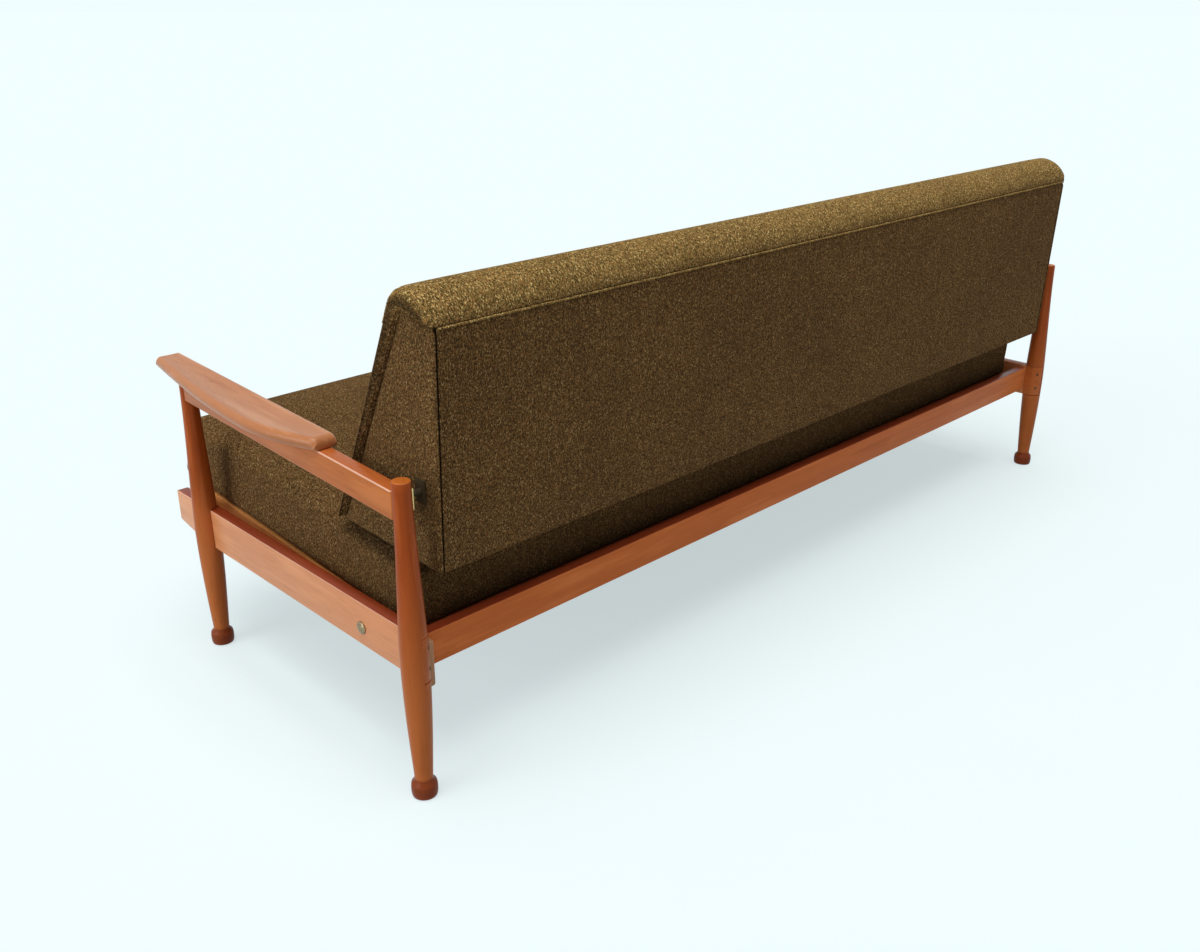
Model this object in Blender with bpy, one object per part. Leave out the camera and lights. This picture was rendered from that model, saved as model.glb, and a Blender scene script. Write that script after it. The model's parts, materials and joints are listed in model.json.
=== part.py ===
"""Sofa with a turned wooden show frame, a tilted mattress seat and a back that swings over.

Metres, +Z up. +X is the sitter's left, -Y is the front. The origin is on the floor, under the
middle of the whole object.
"""
import math

import bmesh
import bpy
from mathutils import Vector

# Clearances
GAP = 0.0003                    # between pieces that touch
PIN_CLEARANCE = 0.0004          # round the pivot pin, in the pieces that turn on it

# Posts
POST_SPACING_X = 1.975          # left to right, between centres
POST_SPACING_Y = 0.647          # front to rear, between centres at the floor
REAR_POST_HEIGHT = 0.533
REAR_POST_LEAN = 0.015          # forward shift for each metre of height
POST_SIDES = 24
POST_TOP_R = 0.0142
POST_SWELL_R = 0.0225
POST_SWELL_Z = 0.245
POST_ANKLE_R = 0.0145
POST_ANKLE_Z = 0.034
POST_TAPER = 1.5                # how late the post thins towards its top
POST_STEPS_BELOW = 6            # rings below and above the swell
POST_STEPS_ABOVE = 7
FOOT_R = 0.0212
FOOT_Z = 0.0135
FOOT_SOLE_R = 0.0160
FOOT_ANGLES = (-40, 0, 40)      # rings round the bun of the foot

# Side, rear and front rails
RAIL_Z = 0.208                  # underside of the rails
RIGHT_RAIL_DROP = 0.012         # the right side rail sits lower than the left one
SIDE_RAIL_HEIGHT = 0.0765
SIDE_RAIL_THICKNESS = 0.022
SIDE_RAIL_REACH = 0.110         # past the front post's centre
SIDE_RAIL_TIP_RISE = 0.017
REAR_RAIL_HEIGHT = 0.0585
REAR_RAIL_THICKNESS = 0.022
REAR_RAIL_SETBACK = 0.0185      # its rear face, in front of the rear posts' centres
FRONT_RAIL_THICKNESS = 0.022
FRONT_RAIL_INSET = 0.022        # behind the side rails' tips
RAIL_ROUND = 0.003
LEDGER_DEPTH = 0.030

# Arms
ARM_THICKNESS = 0.026
ARM_HEIGHT = 0.046
ARM_TOP_REAR_Z = 0.5165         # top of the arm rail at the rear post
ARM_SLOPE = math.radians(2.3)
ARM_SEAT = 0.0085               # flat on the post, from the post's centre
PADDLE_INNER_OVERHANG = 0.0085  # past the arm rail's inner face
PADDLE_THICKNESS = 0.0195
PADDLE_FRONT_REACH = 0.0615     # past the front post's centre
PADDLE_LENGTH = 0.507
PADDLE_FRONT_WIDTH = 0.046
PADDLE_WIDEST = 0.080
PADDLE_REAR_WIDTH = 0.040
PADDLE_WIDEST_AT = 0.70         # share of the length, from the front
PADDLE_ROUND = 0.006
PADDLE_STEPS = 20

# Corner block inside the left rear post
BLOCK_WIDTH = 0.0125
BLOCK_DEPTH = 0.016
BLOCK_DROP = 0.026              # below the rails
BLOCK_TOP_DROP = 0.004          # below the rear rail's top
BLOCK_ROUND = 0.006

# Seat
SEAT_TILT = math.radians(3.5)
SEAT_BOTTOM_Z = 0.283           # underside of the mattress over the front posts
SEAT_SIDE_GAP = 0.0215          # from the side rails to the seat frame
SEAT_REAR_GAP = 0.0196          # from the rear rail to the seat frame
MATTRESS_OVERHANG = 0.001       # past each end of the seat frame
MATTRESS_FRONT_REACH = 0.1620   # past the front posts' centres, along the tilt
MATTRESS_THICKNESS = 0.120
MATTRESS_ROUND = 0.036
MATTRESS_CROWN = 0.016
MATTRESS_CROWN_FALL = 8         # power of the crown's fall towards the ends
MATTRESS_DRAW_IN = 0.006
MATTRESS_DRAW_FALL = 4          # power of the draw-in's fall towards the corners
MATTRESS_SPANS = (12, 8, 2)     # faces along its length, depth and height
MATTRESS_ROUND_STEPS = 2
STRAP_COUNT = 7
STRAP_WIDTH = 0.050
STRAP_THICKNESS = 0.002
STRAP_SETBACK = 0.025           # from the seat frame's edges
SEAT_FRAME_FRONT_REACH = 0.100
SEAT_FRAME_THICKNESS = 0.020
SEAT_FRAME_WIDTH = 0.045

# Rail bolts
BOLT_SETBACK = 0.1435           # in front of the rear posts' centres
BOLT_HEAD_R = 0.0110
BOLT_HEAD_HEIGHT = 0.0045
BOLT_R = 0.004
BOLT_BITE = 0.030               # into the seat frame
BOLT_SIDES = 20
SPACER_R = 0.009

# Screws
HOUSING_SCREW_R = 0.0017
HOUSING_SCREW_HEAD_R = 0.0030
HOUSING_SCREW_HEAD = 0.0016
HOUSING_SCREW_LENGTH = 0.020
HOUSING_SCREW_SPREAD = 0.036
PLATE_SCREW_R = 0.0017
PLATE_SCREW_HEAD_R = 0.0031
PLATE_SCREW_HEAD = 0.0018
PLATE_SCREW_LENGTH = 0.020
SCREW_CROWN = 0.8               # radius of a head's flat, as a share of the head's
SCREW_SIDES = 12

# Pivot of the back
PIVOT_SETBACK = 0.0230          # in front of the rear posts' centres at the floor
PIVOT_Z = 0.4995
PIN_R = 0.005
PIN_SIDES = 20
POST_PLATE_WIDTH = 0.030
POST_PLATE_HEIGHT = 0.034
POST_PLATE_THICKNESS = 0.004
PLATE_SCREW_BEHIND = 0.0095     # behind the pivot
PLATE_SCREW_SPREAD = 0.023
BACK_PLATE_WIDTH = 0.022
BACK_PLATE_HEIGHT = 0.036
BACK_PLATE_THICKNESS = 0.002

# Back, measured from its pivot
BACK_BELOW_PIVOT = 0.129        # rear lower edge
BACK_BEHIND_PIVOT = 0.0315      # rear lower edge
BACK_HEIGHT = 0.3745
BACK_LEAN = math.radians(1.6)
BACK_DEPTH = 0.250              # along the lower edge
BACK_FOOT_RISE = 0.0115         # front lower edge above the rear one
BACK_RAKE = math.radians(26.6)
BACK_SIDE_GAP = 0.0155          # from the side rails to the padding
REAR_PANEL_THICKNESS = 0.008
FRONT_PANEL_THICKNESS = 0.005
BOTTOM_BOARD_THICKNESS = 0.009
TOP_RAIL_THICKNESS = 0.020
RIB_COUNT = 5
RIB_THICKNESS = 0.018
SIDE_PANEL_THICKNESS = 0.0065
SIDE_PANEL_EDGE = 0.0040        # its thickness at the border
SIDE_PANEL_CROWN = 0.0035
SIDE_PANEL_SPANS = (8, 10)      # faces across and upwards
PAD_FOOT = 0.014                # padding at the lower front edge
PAD_HEAD = 0.027                # padding at the upper front edge
PAD_PROUD = 0.017               # past the end ribs
PAD_CROWN = 0.016
PAD_ROLL = 0.060                # how far the front runs on into the rolled top
PAD_ROLL_REAR = 0.042           # how far the roll rises over the rear seam
PAD_ROLL_END = 0.034            # the same two at the ends, where the roll is drawn in
PAD_ROLL_REAR_END = 0.024
PAD_FALL = 6                    # power of the crown's fall towards the ends
PAD_ROLL_FALL = 24
PAD_END_ROUND = 0.010
PAD_END_STEPS = 3
PAD_END_SPANS = (0.030, 0.075)  # extra rings, from the ends
PAD_SPANS = 10                  # faces along the length
PAD_FRONT_STEPS = 7             # faces up the front and over the roll
PAD_ROLL_STEPS = 9

# Places worked out from the sizes above
SEAT_SLOPE = math.tan(SEAT_TILT)
FRONT_REACH = MATTRESS_FRONT_REACH * math.cos(SEAT_TILT) - MATTRESS_ROUND * math.sin(SEAT_TILT)
POST_MID_Y = (FRONT_REACH - FOOT_R) / 2
POST_X = POST_SPACING_X / 2
FRONT_Y = POST_MID_Y - POST_SPACING_Y / 2
REAR_Y = POST_MID_Y + POST_SPACING_Y / 2
RAIL_OUTER_X = POST_X
RAIL_INNER_X = RAIL_OUTER_X - SIDE_RAIL_THICKNESS
REAR_RAIL_TOP_Z = RAIL_Z + REAR_RAIL_HEIGHT
REAR_RAIL_Y = REAR_Y - REAR_RAIL_SETBACK
ARM_INNER_X = POST_X - ARM_THICKNESS / 2
PIVOT_Y = REAR_Y - PIVOT_SETBACK
SEAT_FRAME_LENGTH = 2 * (RAIL_INNER_X - SEAT_SIDE_GAP)
SEAT_REACH = POST_SPACING_Y - REAR_RAIL_SETBACK - REAR_RAIL_THICKNESS - SEAT_REAR_GAP
SEAT_RUN = SEAT_REACH / math.cos(SEAT_TILT)
SEAT_FRAME_DEPTH = SEAT_FRAME_FRONT_REACH + SEAT_RUN
MATTRESS_LENGTH = SEAT_FRAME_LENGTH + 2 * MATTRESS_OVERHANG
MATTRESS_DEPTH = MATTRESS_FRONT_REACH + SEAT_RUN
BACK_PAD_LENGTH = 2 * (RAIL_INNER_X - BACK_SIDE_GAP)
BACK_FRAME_LENGTH = BACK_PAD_LENGTH - 2 * PAD_PROUD     # over the end ribs
SEAT_FRAME_TOP = -(STRAP_THICKNESS + 2 * GAP)
SEAT_FRAME_BOTTOM = SEAT_FRAME_TOP - SEAT_FRAME_THICKNESS
BOLT_Y = REAR_Y - BOLT_SETBACK
BACK_PANEL_X = BACK_FRAME_LENGTH / 2 + GAP
SIDES = (("left", 1), ("right", -1))


# Scene and materials
def clear_scene():
    for thing in list(bpy.data.objects):
        bpy.data.objects.remove(thing, do_unlink=True)


def finish(name, colour, roughness, metallic=0.0):
    made = bpy.data.materials.new(name)
    made.use_nodes = True
    shader = made.node_tree.nodes["Principled BSDF"]
    shader.inputs["Base Color"].default_value = (*colour, 1.0)
    shader.inputs["Roughness"].default_value = roughness
    shader.inputs["Metallic"].default_value = metallic
    return made


def make_finishes():
    return {
        "show_wood": finish("show_wood", (0.42, 0.16, 0.05), 0.35),
        "pale_wood": finish("pale_wood", (0.62, 0.42, 0.21), 0.6),
        "plywood": finish("plywood", (0.55, 0.41, 0.26), 0.7),
        "tweed": finish("tweed", (0.13, 0.085, 0.03), 0.95),
        "webbing": finish("webbing", (0.05, 0.04, 0.03), 0.8),
        "brass": finish("brass", (0.72, 0.55, 0.24), 0.3, 1.0),
        "steel": finish("steel", (0.35, 0.34, 0.32), 0.35, 1.0),
    }


# Mesh helpers
def place(name, bm, look, parent=None, smooth=True):
    """Turn a bmesh into a named object, with its faces outwards."""
    bmesh.ops.recalc_face_normals(bm, faces=bm.faces[:])
    mesh = bpy.data.meshes.new(name)
    bm.to_mesh(mesh)
    bm.free()
    if smooth:
        mesh.shade_smooth()
        mesh.set_sharp_from_angle(angle=math.radians(35))
    made = bpy.data.objects.new(name, mesh)
    bpy.context.scene.collection.objects.link(made)
    if look is not None:
        mesh.materials.append(look)
    if parent is not None:
        made.parent = parent
    return made


def prism(outline, x0, x1):
    """A flat outline of (y, z) points, carried along X."""
    bm = bmesh.new()
    ends = [[bm.verts.new((x, y, z)) for y, z in outline] for x in (x0, x1)]
    bm.faces.new(ends[0])
    bm.faces.new(ends[1])
    count = len(outline)
    for i in range(count):
        j = (i + 1) % count
        bm.faces.new((ends[0][i], ends[0][j], ends[1][j], ends[1][i]))
    return bm


def block(low, high):
    x0, y0, z0 = low
    x1, y1, z1 = high
    return prism([(y0, z0), (y1, z0), (y1, z1), (y0, z1)], x0, x1)


def loft(rings):
    """Join rings of equal length, and close both ends."""
    bm = bmesh.new()
    rows = [[bm.verts.new(point) for point in ring] for ring in rings]
    for low, high in zip(rows, rows[1:]):
        for i in range(len(low)):
            j = (i + 1) % len(low)
            bm.faces.new((low[i], low[j], high[j], high[i]))
    bm.faces.new(rows[0])
    bm.faces.new(rows[-1])
    return bm


def turned(stations, sides, start, along):
    """Spin (distance, radius) stations round an axis from a start point."""
    along = Vector(along).normalized()
    across = along.orthogonal().normalized()
    other = along.cross(across)
    rings = []
    for distance, radius in stations:
        middle = Vector(start) + along * distance
        ring = []
        for i in range(sides):
            angle = 2 * math.pi * i / sides
            ring.append(middle + radius * (across * math.cos(angle) + other * math.sin(angle)))
        rings.append(ring)
    return loft(rings)


def soften(piece, width, segments=2):
    modifier = piece.modifiers.new("soft_edges", "BEVEL")
    modifier.width = width
    modifier.segments = segments
    modifier.limit_method = "ANGLE"
    modifier.angle_limit = math.radians(40)


def cut(piece, name, bm):
    """Take a hidden cutter's shape out of a piece."""
    cutter = place(name, bm, None, smooth=False)
    cutter.hide_render = True
    cutter.display_type = "WIRE"
    modifier = piece.modifiers.new(name, "BOOLEAN")
    modifier.operation = "DIFFERENCE"
    modifier.solver = "EXACT"
    modifier.object = cutter


def empty(name, location, turn_x=0.0):
    made = bpy.data.objects.new(name, None)
    made.location = location
    made.rotation_euler = (turn_x, 0.0, 0.0)
    bpy.context.scene.collection.objects.link(made)
    return made


def mix(a, b, share):
    return a + (b - a) * share


# Show frame
def post_radius(height, top_z):
    """Radius of a turned post above its ankle: a long swell, thinner at both ends."""
    if height < POST_SWELL_Z:
        share = (height - POST_ANKLE_Z) / (POST_SWELL_Z - POST_ANKLE_Z)
        return mix(POST_ANKLE_R, POST_SWELL_R, math.sin(share * math.pi / 2))
    share = (height - POST_SWELL_Z) / (top_z - POST_SWELL_Z)
    return mix(POST_SWELL_R, POST_TOP_R, math.sin(share * math.pi / 2) ** POST_TAPER)


def post_stations(top_z):
    """Heights and radii from the sole of the foot to the top."""
    stations = [(0.0, FOOT_SOLE_R)]
    for angle in FOOT_ANGLES:
        turn = math.radians(angle)
        rise = FOOT_Z * (1 + math.sin(turn))
        stations.append((rise, mix(FOOT_SOLE_R, FOOT_R, math.sqrt(math.cos(turn)))))
    for i in range(POST_STEPS_BELOW):
        height = mix(POST_ANKLE_Z, POST_SWELL_Z, i / POST_STEPS_BELOW)
        stations.append((height, post_radius(height, top_z)))
    for i in range(POST_STEPS_ABOVE + 1):
        height = mix(POST_SWELL_Z, top_z, i / POST_STEPS_ABOVE)
        stations.append((height, post_radius(height, top_z)))
    return stations


def make_post(name, x, y, top_z, lean, look):
    rings = []
    for height, radius in post_stations(top_z):
        middle_y = y - lean * height
        ring = []
        for i in range(POST_SIDES):
            angle = 2 * math.pi * i / POST_SIDES
            ring.append((x + radius * math.cos(angle), middle_y + radius * math.sin(angle), height))
        rings.append(ring)
    return place(name, loft(rings), look)


def arm_top(y):
    return ARM_TOP_REAR_Z + (REAR_Y - y) * math.tan(ARM_SLOPE)


def rear_post_y(height):
    return REAR_Y - REAR_POST_LEAN * height


def arm_ends():
    return FRONT_Y + ARM_SEAT, rear_post_y(ARM_TOP_REAR_Z) - ARM_SEAT


def arm_outline(spread):
    front, rear = arm_ends()
    front -= spread
    rear += spread
    return [
        (front, arm_top(front) - ARM_HEIGHT - spread),
        (rear, arm_top(rear) - ARM_HEIGHT - spread),
        (rear, arm_top(rear) + spread),
        (front, arm_top(front) + spread),
    ]


def make_arm_rail(side, sign, look):
    x0 = POST_X - ARM_THICKNESS / 2
    x1 = POST_X + ARM_THICKNESS / 2
    rail = place(f"{side}_arm_rail", prism(arm_outline(0.0), sign * x0, sign * x1), look)
    soften(rail, RAIL_ROUND)


def paddle_width(share):
    """Width of the armrest, a slow swell from the front and a quick taper at the rear."""
    if share < PADDLE_WIDEST_AT:
        swell = math.sin(share / PADDLE_WIDEST_AT * math.pi / 2)
        return mix(PADDLE_FRONT_WIDTH, PADDLE_WIDEST, swell)
    fall = math.cos((share - PADDLE_WIDEST_AT) / (1 - PADDLE_WIDEST_AT) * math.pi / 2)
    return mix(PADDLE_REAR_WIDTH, PADDLE_WIDEST, fall)


def make_armrest(side, sign, look):
    front = FRONT_Y - PADDLE_FRONT_REACH
    inner = ARM_INNER_X - PADDLE_INNER_OVERHANG
    outline = [(inner, front), (inner, front + PADDLE_LENGTH)]
    for i in range(PADDLE_STEPS, -1, -1):
        share = i / PADDLE_STEPS
        outline.append((inner + paddle_width(share), front + share * PADDLE_LENGTH))
    rings = []
    for rise in (GAP, GAP + PADDLE_THICKNESS):
        rings.append([(sign * x, y, arm_top(y) + rise) for x, y in outline])
    armrest = place(f"{side}_armrest", loft(rings), look)
    soften(armrest, PADDLE_ROUND, 3)


def side_rail_low(sign):
    """Underside of a side rail."""
    return RAIL_Z if sign > 0 else RAIL_Z - RIGHT_RAIL_DROP


def side_rail_middle(sign):
    return side_rail_low(sign) + SIDE_RAIL_HEIGHT / 2


def make_side_rail(side, sign, look):
    """Rail along one side. Its rear end is in line with the round of its post."""
    tip = FRONT_Y - SIDE_RAIL_REACH
    rise_start = FRONT_Y - POST_SWELL_R
    rear = rear_post_y(side_rail_middle(sign)) + POST_SWELL_R
    low = side_rail_low(sign)
    top = low + SIDE_RAIL_HEIGHT
    outline = [
        (tip, low + SIDE_RAIL_TIP_RISE),
        (rise_start, low),
        (rear, low),
        (rear, top),
        (tip, top),
    ]
    bm = prism(outline, sign * RAIL_INNER_X, sign * RAIL_OUTER_X)
    corner = [
        edge for edge in bm.edges
        if all(abs(v.co.y - rear) < GAP and abs(v.co.x - sign * RAIL_INNER_X) < GAP for v in edge.verts)
    ]
    bmesh.ops.bevel(
        bm, geom=corner, offset=SIDE_RAIL_THICKNESS - GAP, segments=6, profile=0.5,
        affect="EDGES", offset_type="OFFSET",
    )
    rail = place(f"{side}_side_rail", bm, look)
    soften(rail, RAIL_ROUND)
    return rail


def rail_housing(sign, y):
    """Cutter for the inner half of a post, where the side rail passes."""
    low_x, high_x = sorted((sign * (RAIL_INNER_X - POST_SWELL_R), sign * (RAIL_OUTER_X + GAP)))
    low_z = side_rail_low(sign) - GAP
    high_z = side_rail_low(sign) + SIDE_RAIL_HEIGHT + GAP
    return block((low_x, y - 2 * POST_SWELL_R, low_z), (high_x, y + 2 * POST_SWELL_R, high_z))


def arm_housing(sign):
    x0 = POST_X - ARM_THICKNESS
    x1 = POST_X + ARM_THICKNESS
    return prism(arm_outline(GAP), sign * x0, sign * x1)


def plate_seat(sign):
    """Cutter for the flat behind the post plate."""
    low_x, high_x = sorted((sign * (ARM_INNER_X - POST_SWELL_R), sign * ARM_INNER_X))
    half_width = POST_PLATE_WIDTH / 2 + GAP
    half_height = POST_PLATE_HEIGHT / 2 + GAP
    return block(
        (low_x, PIVOT_Y - half_width, PIVOT_Z - half_height),
        (high_x, PIVOT_Y + half_width, PIVOT_Z + half_height),
    )


# Screws and bolts
def screw_stations(radius, head_radius, head, length, spread=0.0):
    return [
        (-spread, head_radius * SCREW_CROWN + spread),
        (head / 2, head_radius + spread),
        (head, head_radius + spread),
        (head + spread, radius + spread),
        (head + length + spread, radius + spread),
    ]


def housing_screws(side, sign, post, rail, look):
    """Two screws through the rail's rounded end, towards the post's middle."""
    way = Vector((sign, -1.0, 0.0)).normalized()
    middle_z = side_rail_middle(sign)
    middle_y = rear_post_y(middle_z)
    sizes = (HOUSING_SCREW_R, HOUSING_SCREW_HEAD_R, HOUSING_SCREW_HEAD, HOUSING_SCREW_LENGTH)
    reach = POST_SWELL_R
    for i, step in enumerate((-0.5, 0.5), start=1):
        height = middle_z + step * HOUSING_SCREW_SPREAD
        start = Vector((sign * POST_X, middle_y, height)) - way * (reach - GAP)
        name = f"{side}_housing_screw_{i}"
        place(name, turned(screw_stations(*sizes), SCREW_SIDES, start, way), look)
        hole = screw_stations(*sizes, spread=GAP)
        hole[0] = (-reach, HOUSING_SCREW_HEAD_R + GAP)
        for piece in (post, rail):
            cut(piece, f"{name}_hole_in_{piece.name}", turned(hole, SCREW_SIDES, start, way))


def bolt_height():
    run = BOLT_Y - FRONT_Y
    middle = (SEAT_FRAME_TOP + SEAT_FRAME_BOTTOM) / 2
    return SEAT_BOTTOM_Z - run * SEAT_SLOPE + middle / math.cos(SEAT_TILT)


def make_rail_bolt(side, sign, rail, frame_side, look, spacer_look):
    """A dome-headed bolt through the side rail and a spacer, into the seat frame."""
    start = (sign * (RAIL_OUTER_X + BOLT_HEAD_HEIGHT + GAP), BOLT_Y, bolt_height())
    way = (-sign, 0.0, 0.0)
    under_head = BOLT_HEAD_HEIGHT
    frame_x = SEAT_FRAME_LENGTH / 2
    end = under_head + GAP + RAIL_OUTER_X - frame_x + BOLT_BITE
    stations = []
    for angle in (80, 55, 30, 0):
        turn = math.radians(angle)
        stations.append((BOLT_HEAD_HEIGHT * (1 - math.sin(turn)), BOLT_HEAD_R * math.cos(turn)))
    stations[-1] = (under_head, BOLT_HEAD_R)
    stations += [(under_head + GAP / 2, BOLT_R), (end, BOLT_R)]
    place(f"{side}_rail_bolt", turned(stations, BOLT_SIDES, start, way), look)
    hole = [(under_head + GAP / 2, BOLT_R + GAP), (end + GAP, BOLT_R + GAP)]
    for piece in (rail, frame_side):
        cut(piece, f"{piece.name}_bolt_hole", turned(hole, BOLT_SIDES, start, way))
    spacer_start = (sign * (RAIL_INNER_X - GAP), BOLT_Y, bolt_height())
    spacer_length = RAIL_INNER_X - frame_x - 2 * GAP
    spacer_ends = [(0.0, SPACER_R), (spacer_length, SPACER_R)]
    spacer = place(f"{side}_bolt_spacer", turned(spacer_ends, BOLT_SIDES, spacer_start, way), spacer_look)
    cut(spacer, f"{side}_bolt_spacer_hole", turned(hole, BOLT_SIDES, start, way))


def make_corner_block(look):
    x1 = RAIL_INNER_X - GAP
    x0 = x1 - BLOCK_WIDTH
    y0 = REAR_RAIL_Y + GAP
    y1 = y0 + BLOCK_DEPTH
    z0 = RAIL_Z - BLOCK_DROP
    z1 = REAR_RAIL_TOP_Z - BLOCK_TOP_DROP
    corner_block = place("left_corner_block", block((x0, y0, z0), (x1, y1, z1)), look)
    soften(corner_block, BLOCK_ROUND, 3)
    return corner_block


def seat_frame_under(y):
    """Height of the seat frame's underside at a place along Y."""
    return SEAT_BOTTOM_Z - (y - FRONT_Y) * SEAT_SLOPE + SEAT_FRAME_BOTTOM / math.cos(SEAT_TILT)


def make_rails(look, pale_look):
    length = RAIL_INNER_X - GAP
    rear_rail_front = REAR_RAIL_Y - REAR_RAIL_THICKNESS
    rear_rail = place(
        "rear_rail", block((-length, rear_rail_front, RAIL_Z), (length, REAR_RAIL_Y, REAR_RAIL_TOP_Z)), look
    )
    soften(rear_rail, RAIL_ROUND)
    ledger_rear = rear_rail_front - GAP
    ledger_front = ledger_rear - LEDGER_DEPTH
    ledger = [
        (ledger_front, RAIL_Z),
        (ledger_rear, RAIL_Z),
        (ledger_rear, seat_frame_under(ledger_rear) - GAP),
        (ledger_front, seat_frame_under(ledger_front) - GAP),
    ]
    place("rear_ledger", prism(ledger, -length, length), pale_look)
    front = FRONT_Y - SIDE_RAIL_REACH + FRONT_RAIL_INSET
    behind = front + FRONT_RAIL_THICKNESS
    front_rail = [
        (front, RAIL_Z + SIDE_RAIL_TIP_RISE),
        (behind, RAIL_Z + SIDE_RAIL_TIP_RISE),
        (behind, seat_frame_under(behind) - GAP),
        (front, seat_frame_under(front) - GAP),
    ]
    place("front_rail", prism(front_rail, -length, length), look)


def make_show_frame(looks):
    """Posts, rails, arms and the screws that join them. Gives back the side rails by side."""
    wood = looks["show_wood"]
    rails = {}
    for side, sign in SIDES:
        rail = make_side_rail(side, sign, wood)
        rails[side] = rail
        make_arm_rail(side, sign, wood)
        make_armrest(side, sign, wood)
        x = sign * POST_X
        front_top = arm_top(FRONT_Y + POST_TOP_R)
        front_post = make_post(f"{side}_front_post", x, FRONT_Y, front_top, 0.0, wood)
        rear_post = make_post(f"{side}_rear_post", x, REAR_Y, REAR_POST_HEIGHT, REAR_POST_LEAN, wood)
        for post, y in ((front_post, FRONT_Y), (rear_post, REAR_Y)):
            cut(post, f"{post.name}_rail_housing", rail_housing(sign, y))
            cut(post, f"{post.name}_arm_housing", arm_housing(sign))
        cut(rear_post, f"{side}_plate_seat", plate_seat(sign))
        housing_screws(side, sign, rear_post, rail, looks["steel"])
        make_pivot(side, sign, rear_post, looks)
    make_rails(wood, looks["pale_wood"])
    make_corner_block(wood)
    return rails


# Pivot hardware on the frame
def pin_hole(sign, x0, x1, clearance):
    return turned([(0.0, PIN_R + clearance), (x1 - x0, PIN_R + clearance)], PIN_SIDES,
                  (sign * x0, PIVOT_Y, PIVOT_Z), (sign, 0.0, 0.0))


def make_pivot(side, sign, post, looks):
    """Post plate, its two screws and the pivot pin that is riveted into it."""
    back_face = ARM_INNER_X - GAP
    face = back_face - POST_PLATE_THICKNESS
    low_x, high_x = sorted((sign * face, sign * back_face))
    half_width = POST_PLATE_WIDTH / 2
    half_height = POST_PLATE_HEIGHT / 2
    plate = place(f"{side}_post_plate", block(
        (low_x, PIVOT_Y - half_width, PIVOT_Z - half_height),
        (high_x, PIVOT_Y + half_width, PIVOT_Z + half_height),
    ), looks["brass"])
    cut(plate, f"{side}_post_plate_pin_hole", pin_hole(sign, face - GAP, back_face + GAP, GAP))
    sizes = (PLATE_SCREW_R, PLATE_SCREW_HEAD_R, PLATE_SCREW_HEAD, PLATE_SCREW_LENGTH)
    way = (sign, 0.0, 0.0)
    for i, step in enumerate((-0.5, 0.5), start=1):
        height = PIVOT_Z + step * PLATE_SCREW_SPREAD
        start = (sign * (face - GAP - PLATE_SCREW_HEAD), PIVOT_Y + PLATE_SCREW_BEHIND, height)
        name = f"{side}_plate_screw_{i}"
        place(name, turned(screw_stations(*sizes), SCREW_SIDES, start, way), looks["steel"])
        reach = PLATE_SCREW_HEAD + PLATE_SCREW_LENGTH + GAP
        hole = [(PLATE_SCREW_HEAD, PLATE_SCREW_R + GAP), (reach, PLATE_SCREW_R + GAP)]
        for piece in (plate, post):
            cut(piece, f"{name}_hole_in_{piece.name}", turned(hole, SCREW_SIDES, start, way))
    inner = BACK_FRAME_LENGTH / 2 - RIB_THICKNESS
    pin = [(0.0, PIN_R), (back_face - inner, PIN_R)]
    pin_start = (sign * inner, PIVOT_Y, PIVOT_Z)
    place(f"{side}_pivot_pin", turned(pin, PIN_SIDES, pin_start, way), looks["steel"])


# Seat
def rounded_stops(half, radius, count, arc_steps):
    """Places along one axis of a rounded block: even in the middle, close together in the round."""
    flat = half - radius
    arc = [flat + radius * math.tan(math.radians(45) * k / arc_steps) for k in range(1, arc_steps + 1)]
    middle = [mix(-flat, flat, i / count) for i in range(count + 1)]
    return [-a for a in reversed(arc)] + middle + arc


def rounded_block(halves, radius, counts, arc_steps):
    """A block whose edges and corners are all round, centred on the origin."""
    stops = [rounded_stops(half, radius, count, arc_steps) for half, count in zip(halves, counts)]
    last = [len(row) - 1 for row in stops]
    bm = bmesh.new()
    made = {}

    def corner(i, j, k):
        if (i, j, k) not in made:
            point = Vector((stops[0][i], stops[1][j], stops[2][k]))
            flats = [half - radius for half in halves]
            core = Vector([max(-flat, min(flat, value)) for flat, value in zip(flats, point)])
            made[i, j, k] = bm.verts.new(core + (point - core).normalized() * radius)
        return made[i, j, k]

    for axis in range(3):
        first, second = [a for a in range(3) if a != axis]
        for end in (0, last[axis]):
            for a in range(last[first]):
                for b in range(last[second]):
                    quad = []
                    for step_a, step_b in ((0, 0), (1, 0), (1, 1), (0, 1)):
                        place_at = [0, 0, 0]
                        place_at[axis] = end
                        place_at[first] = a + step_a
                        place_at[second] = b + step_b
                        quad.append(corner(*place_at))
                    bm.faces.new(quad)
    return bm


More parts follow.
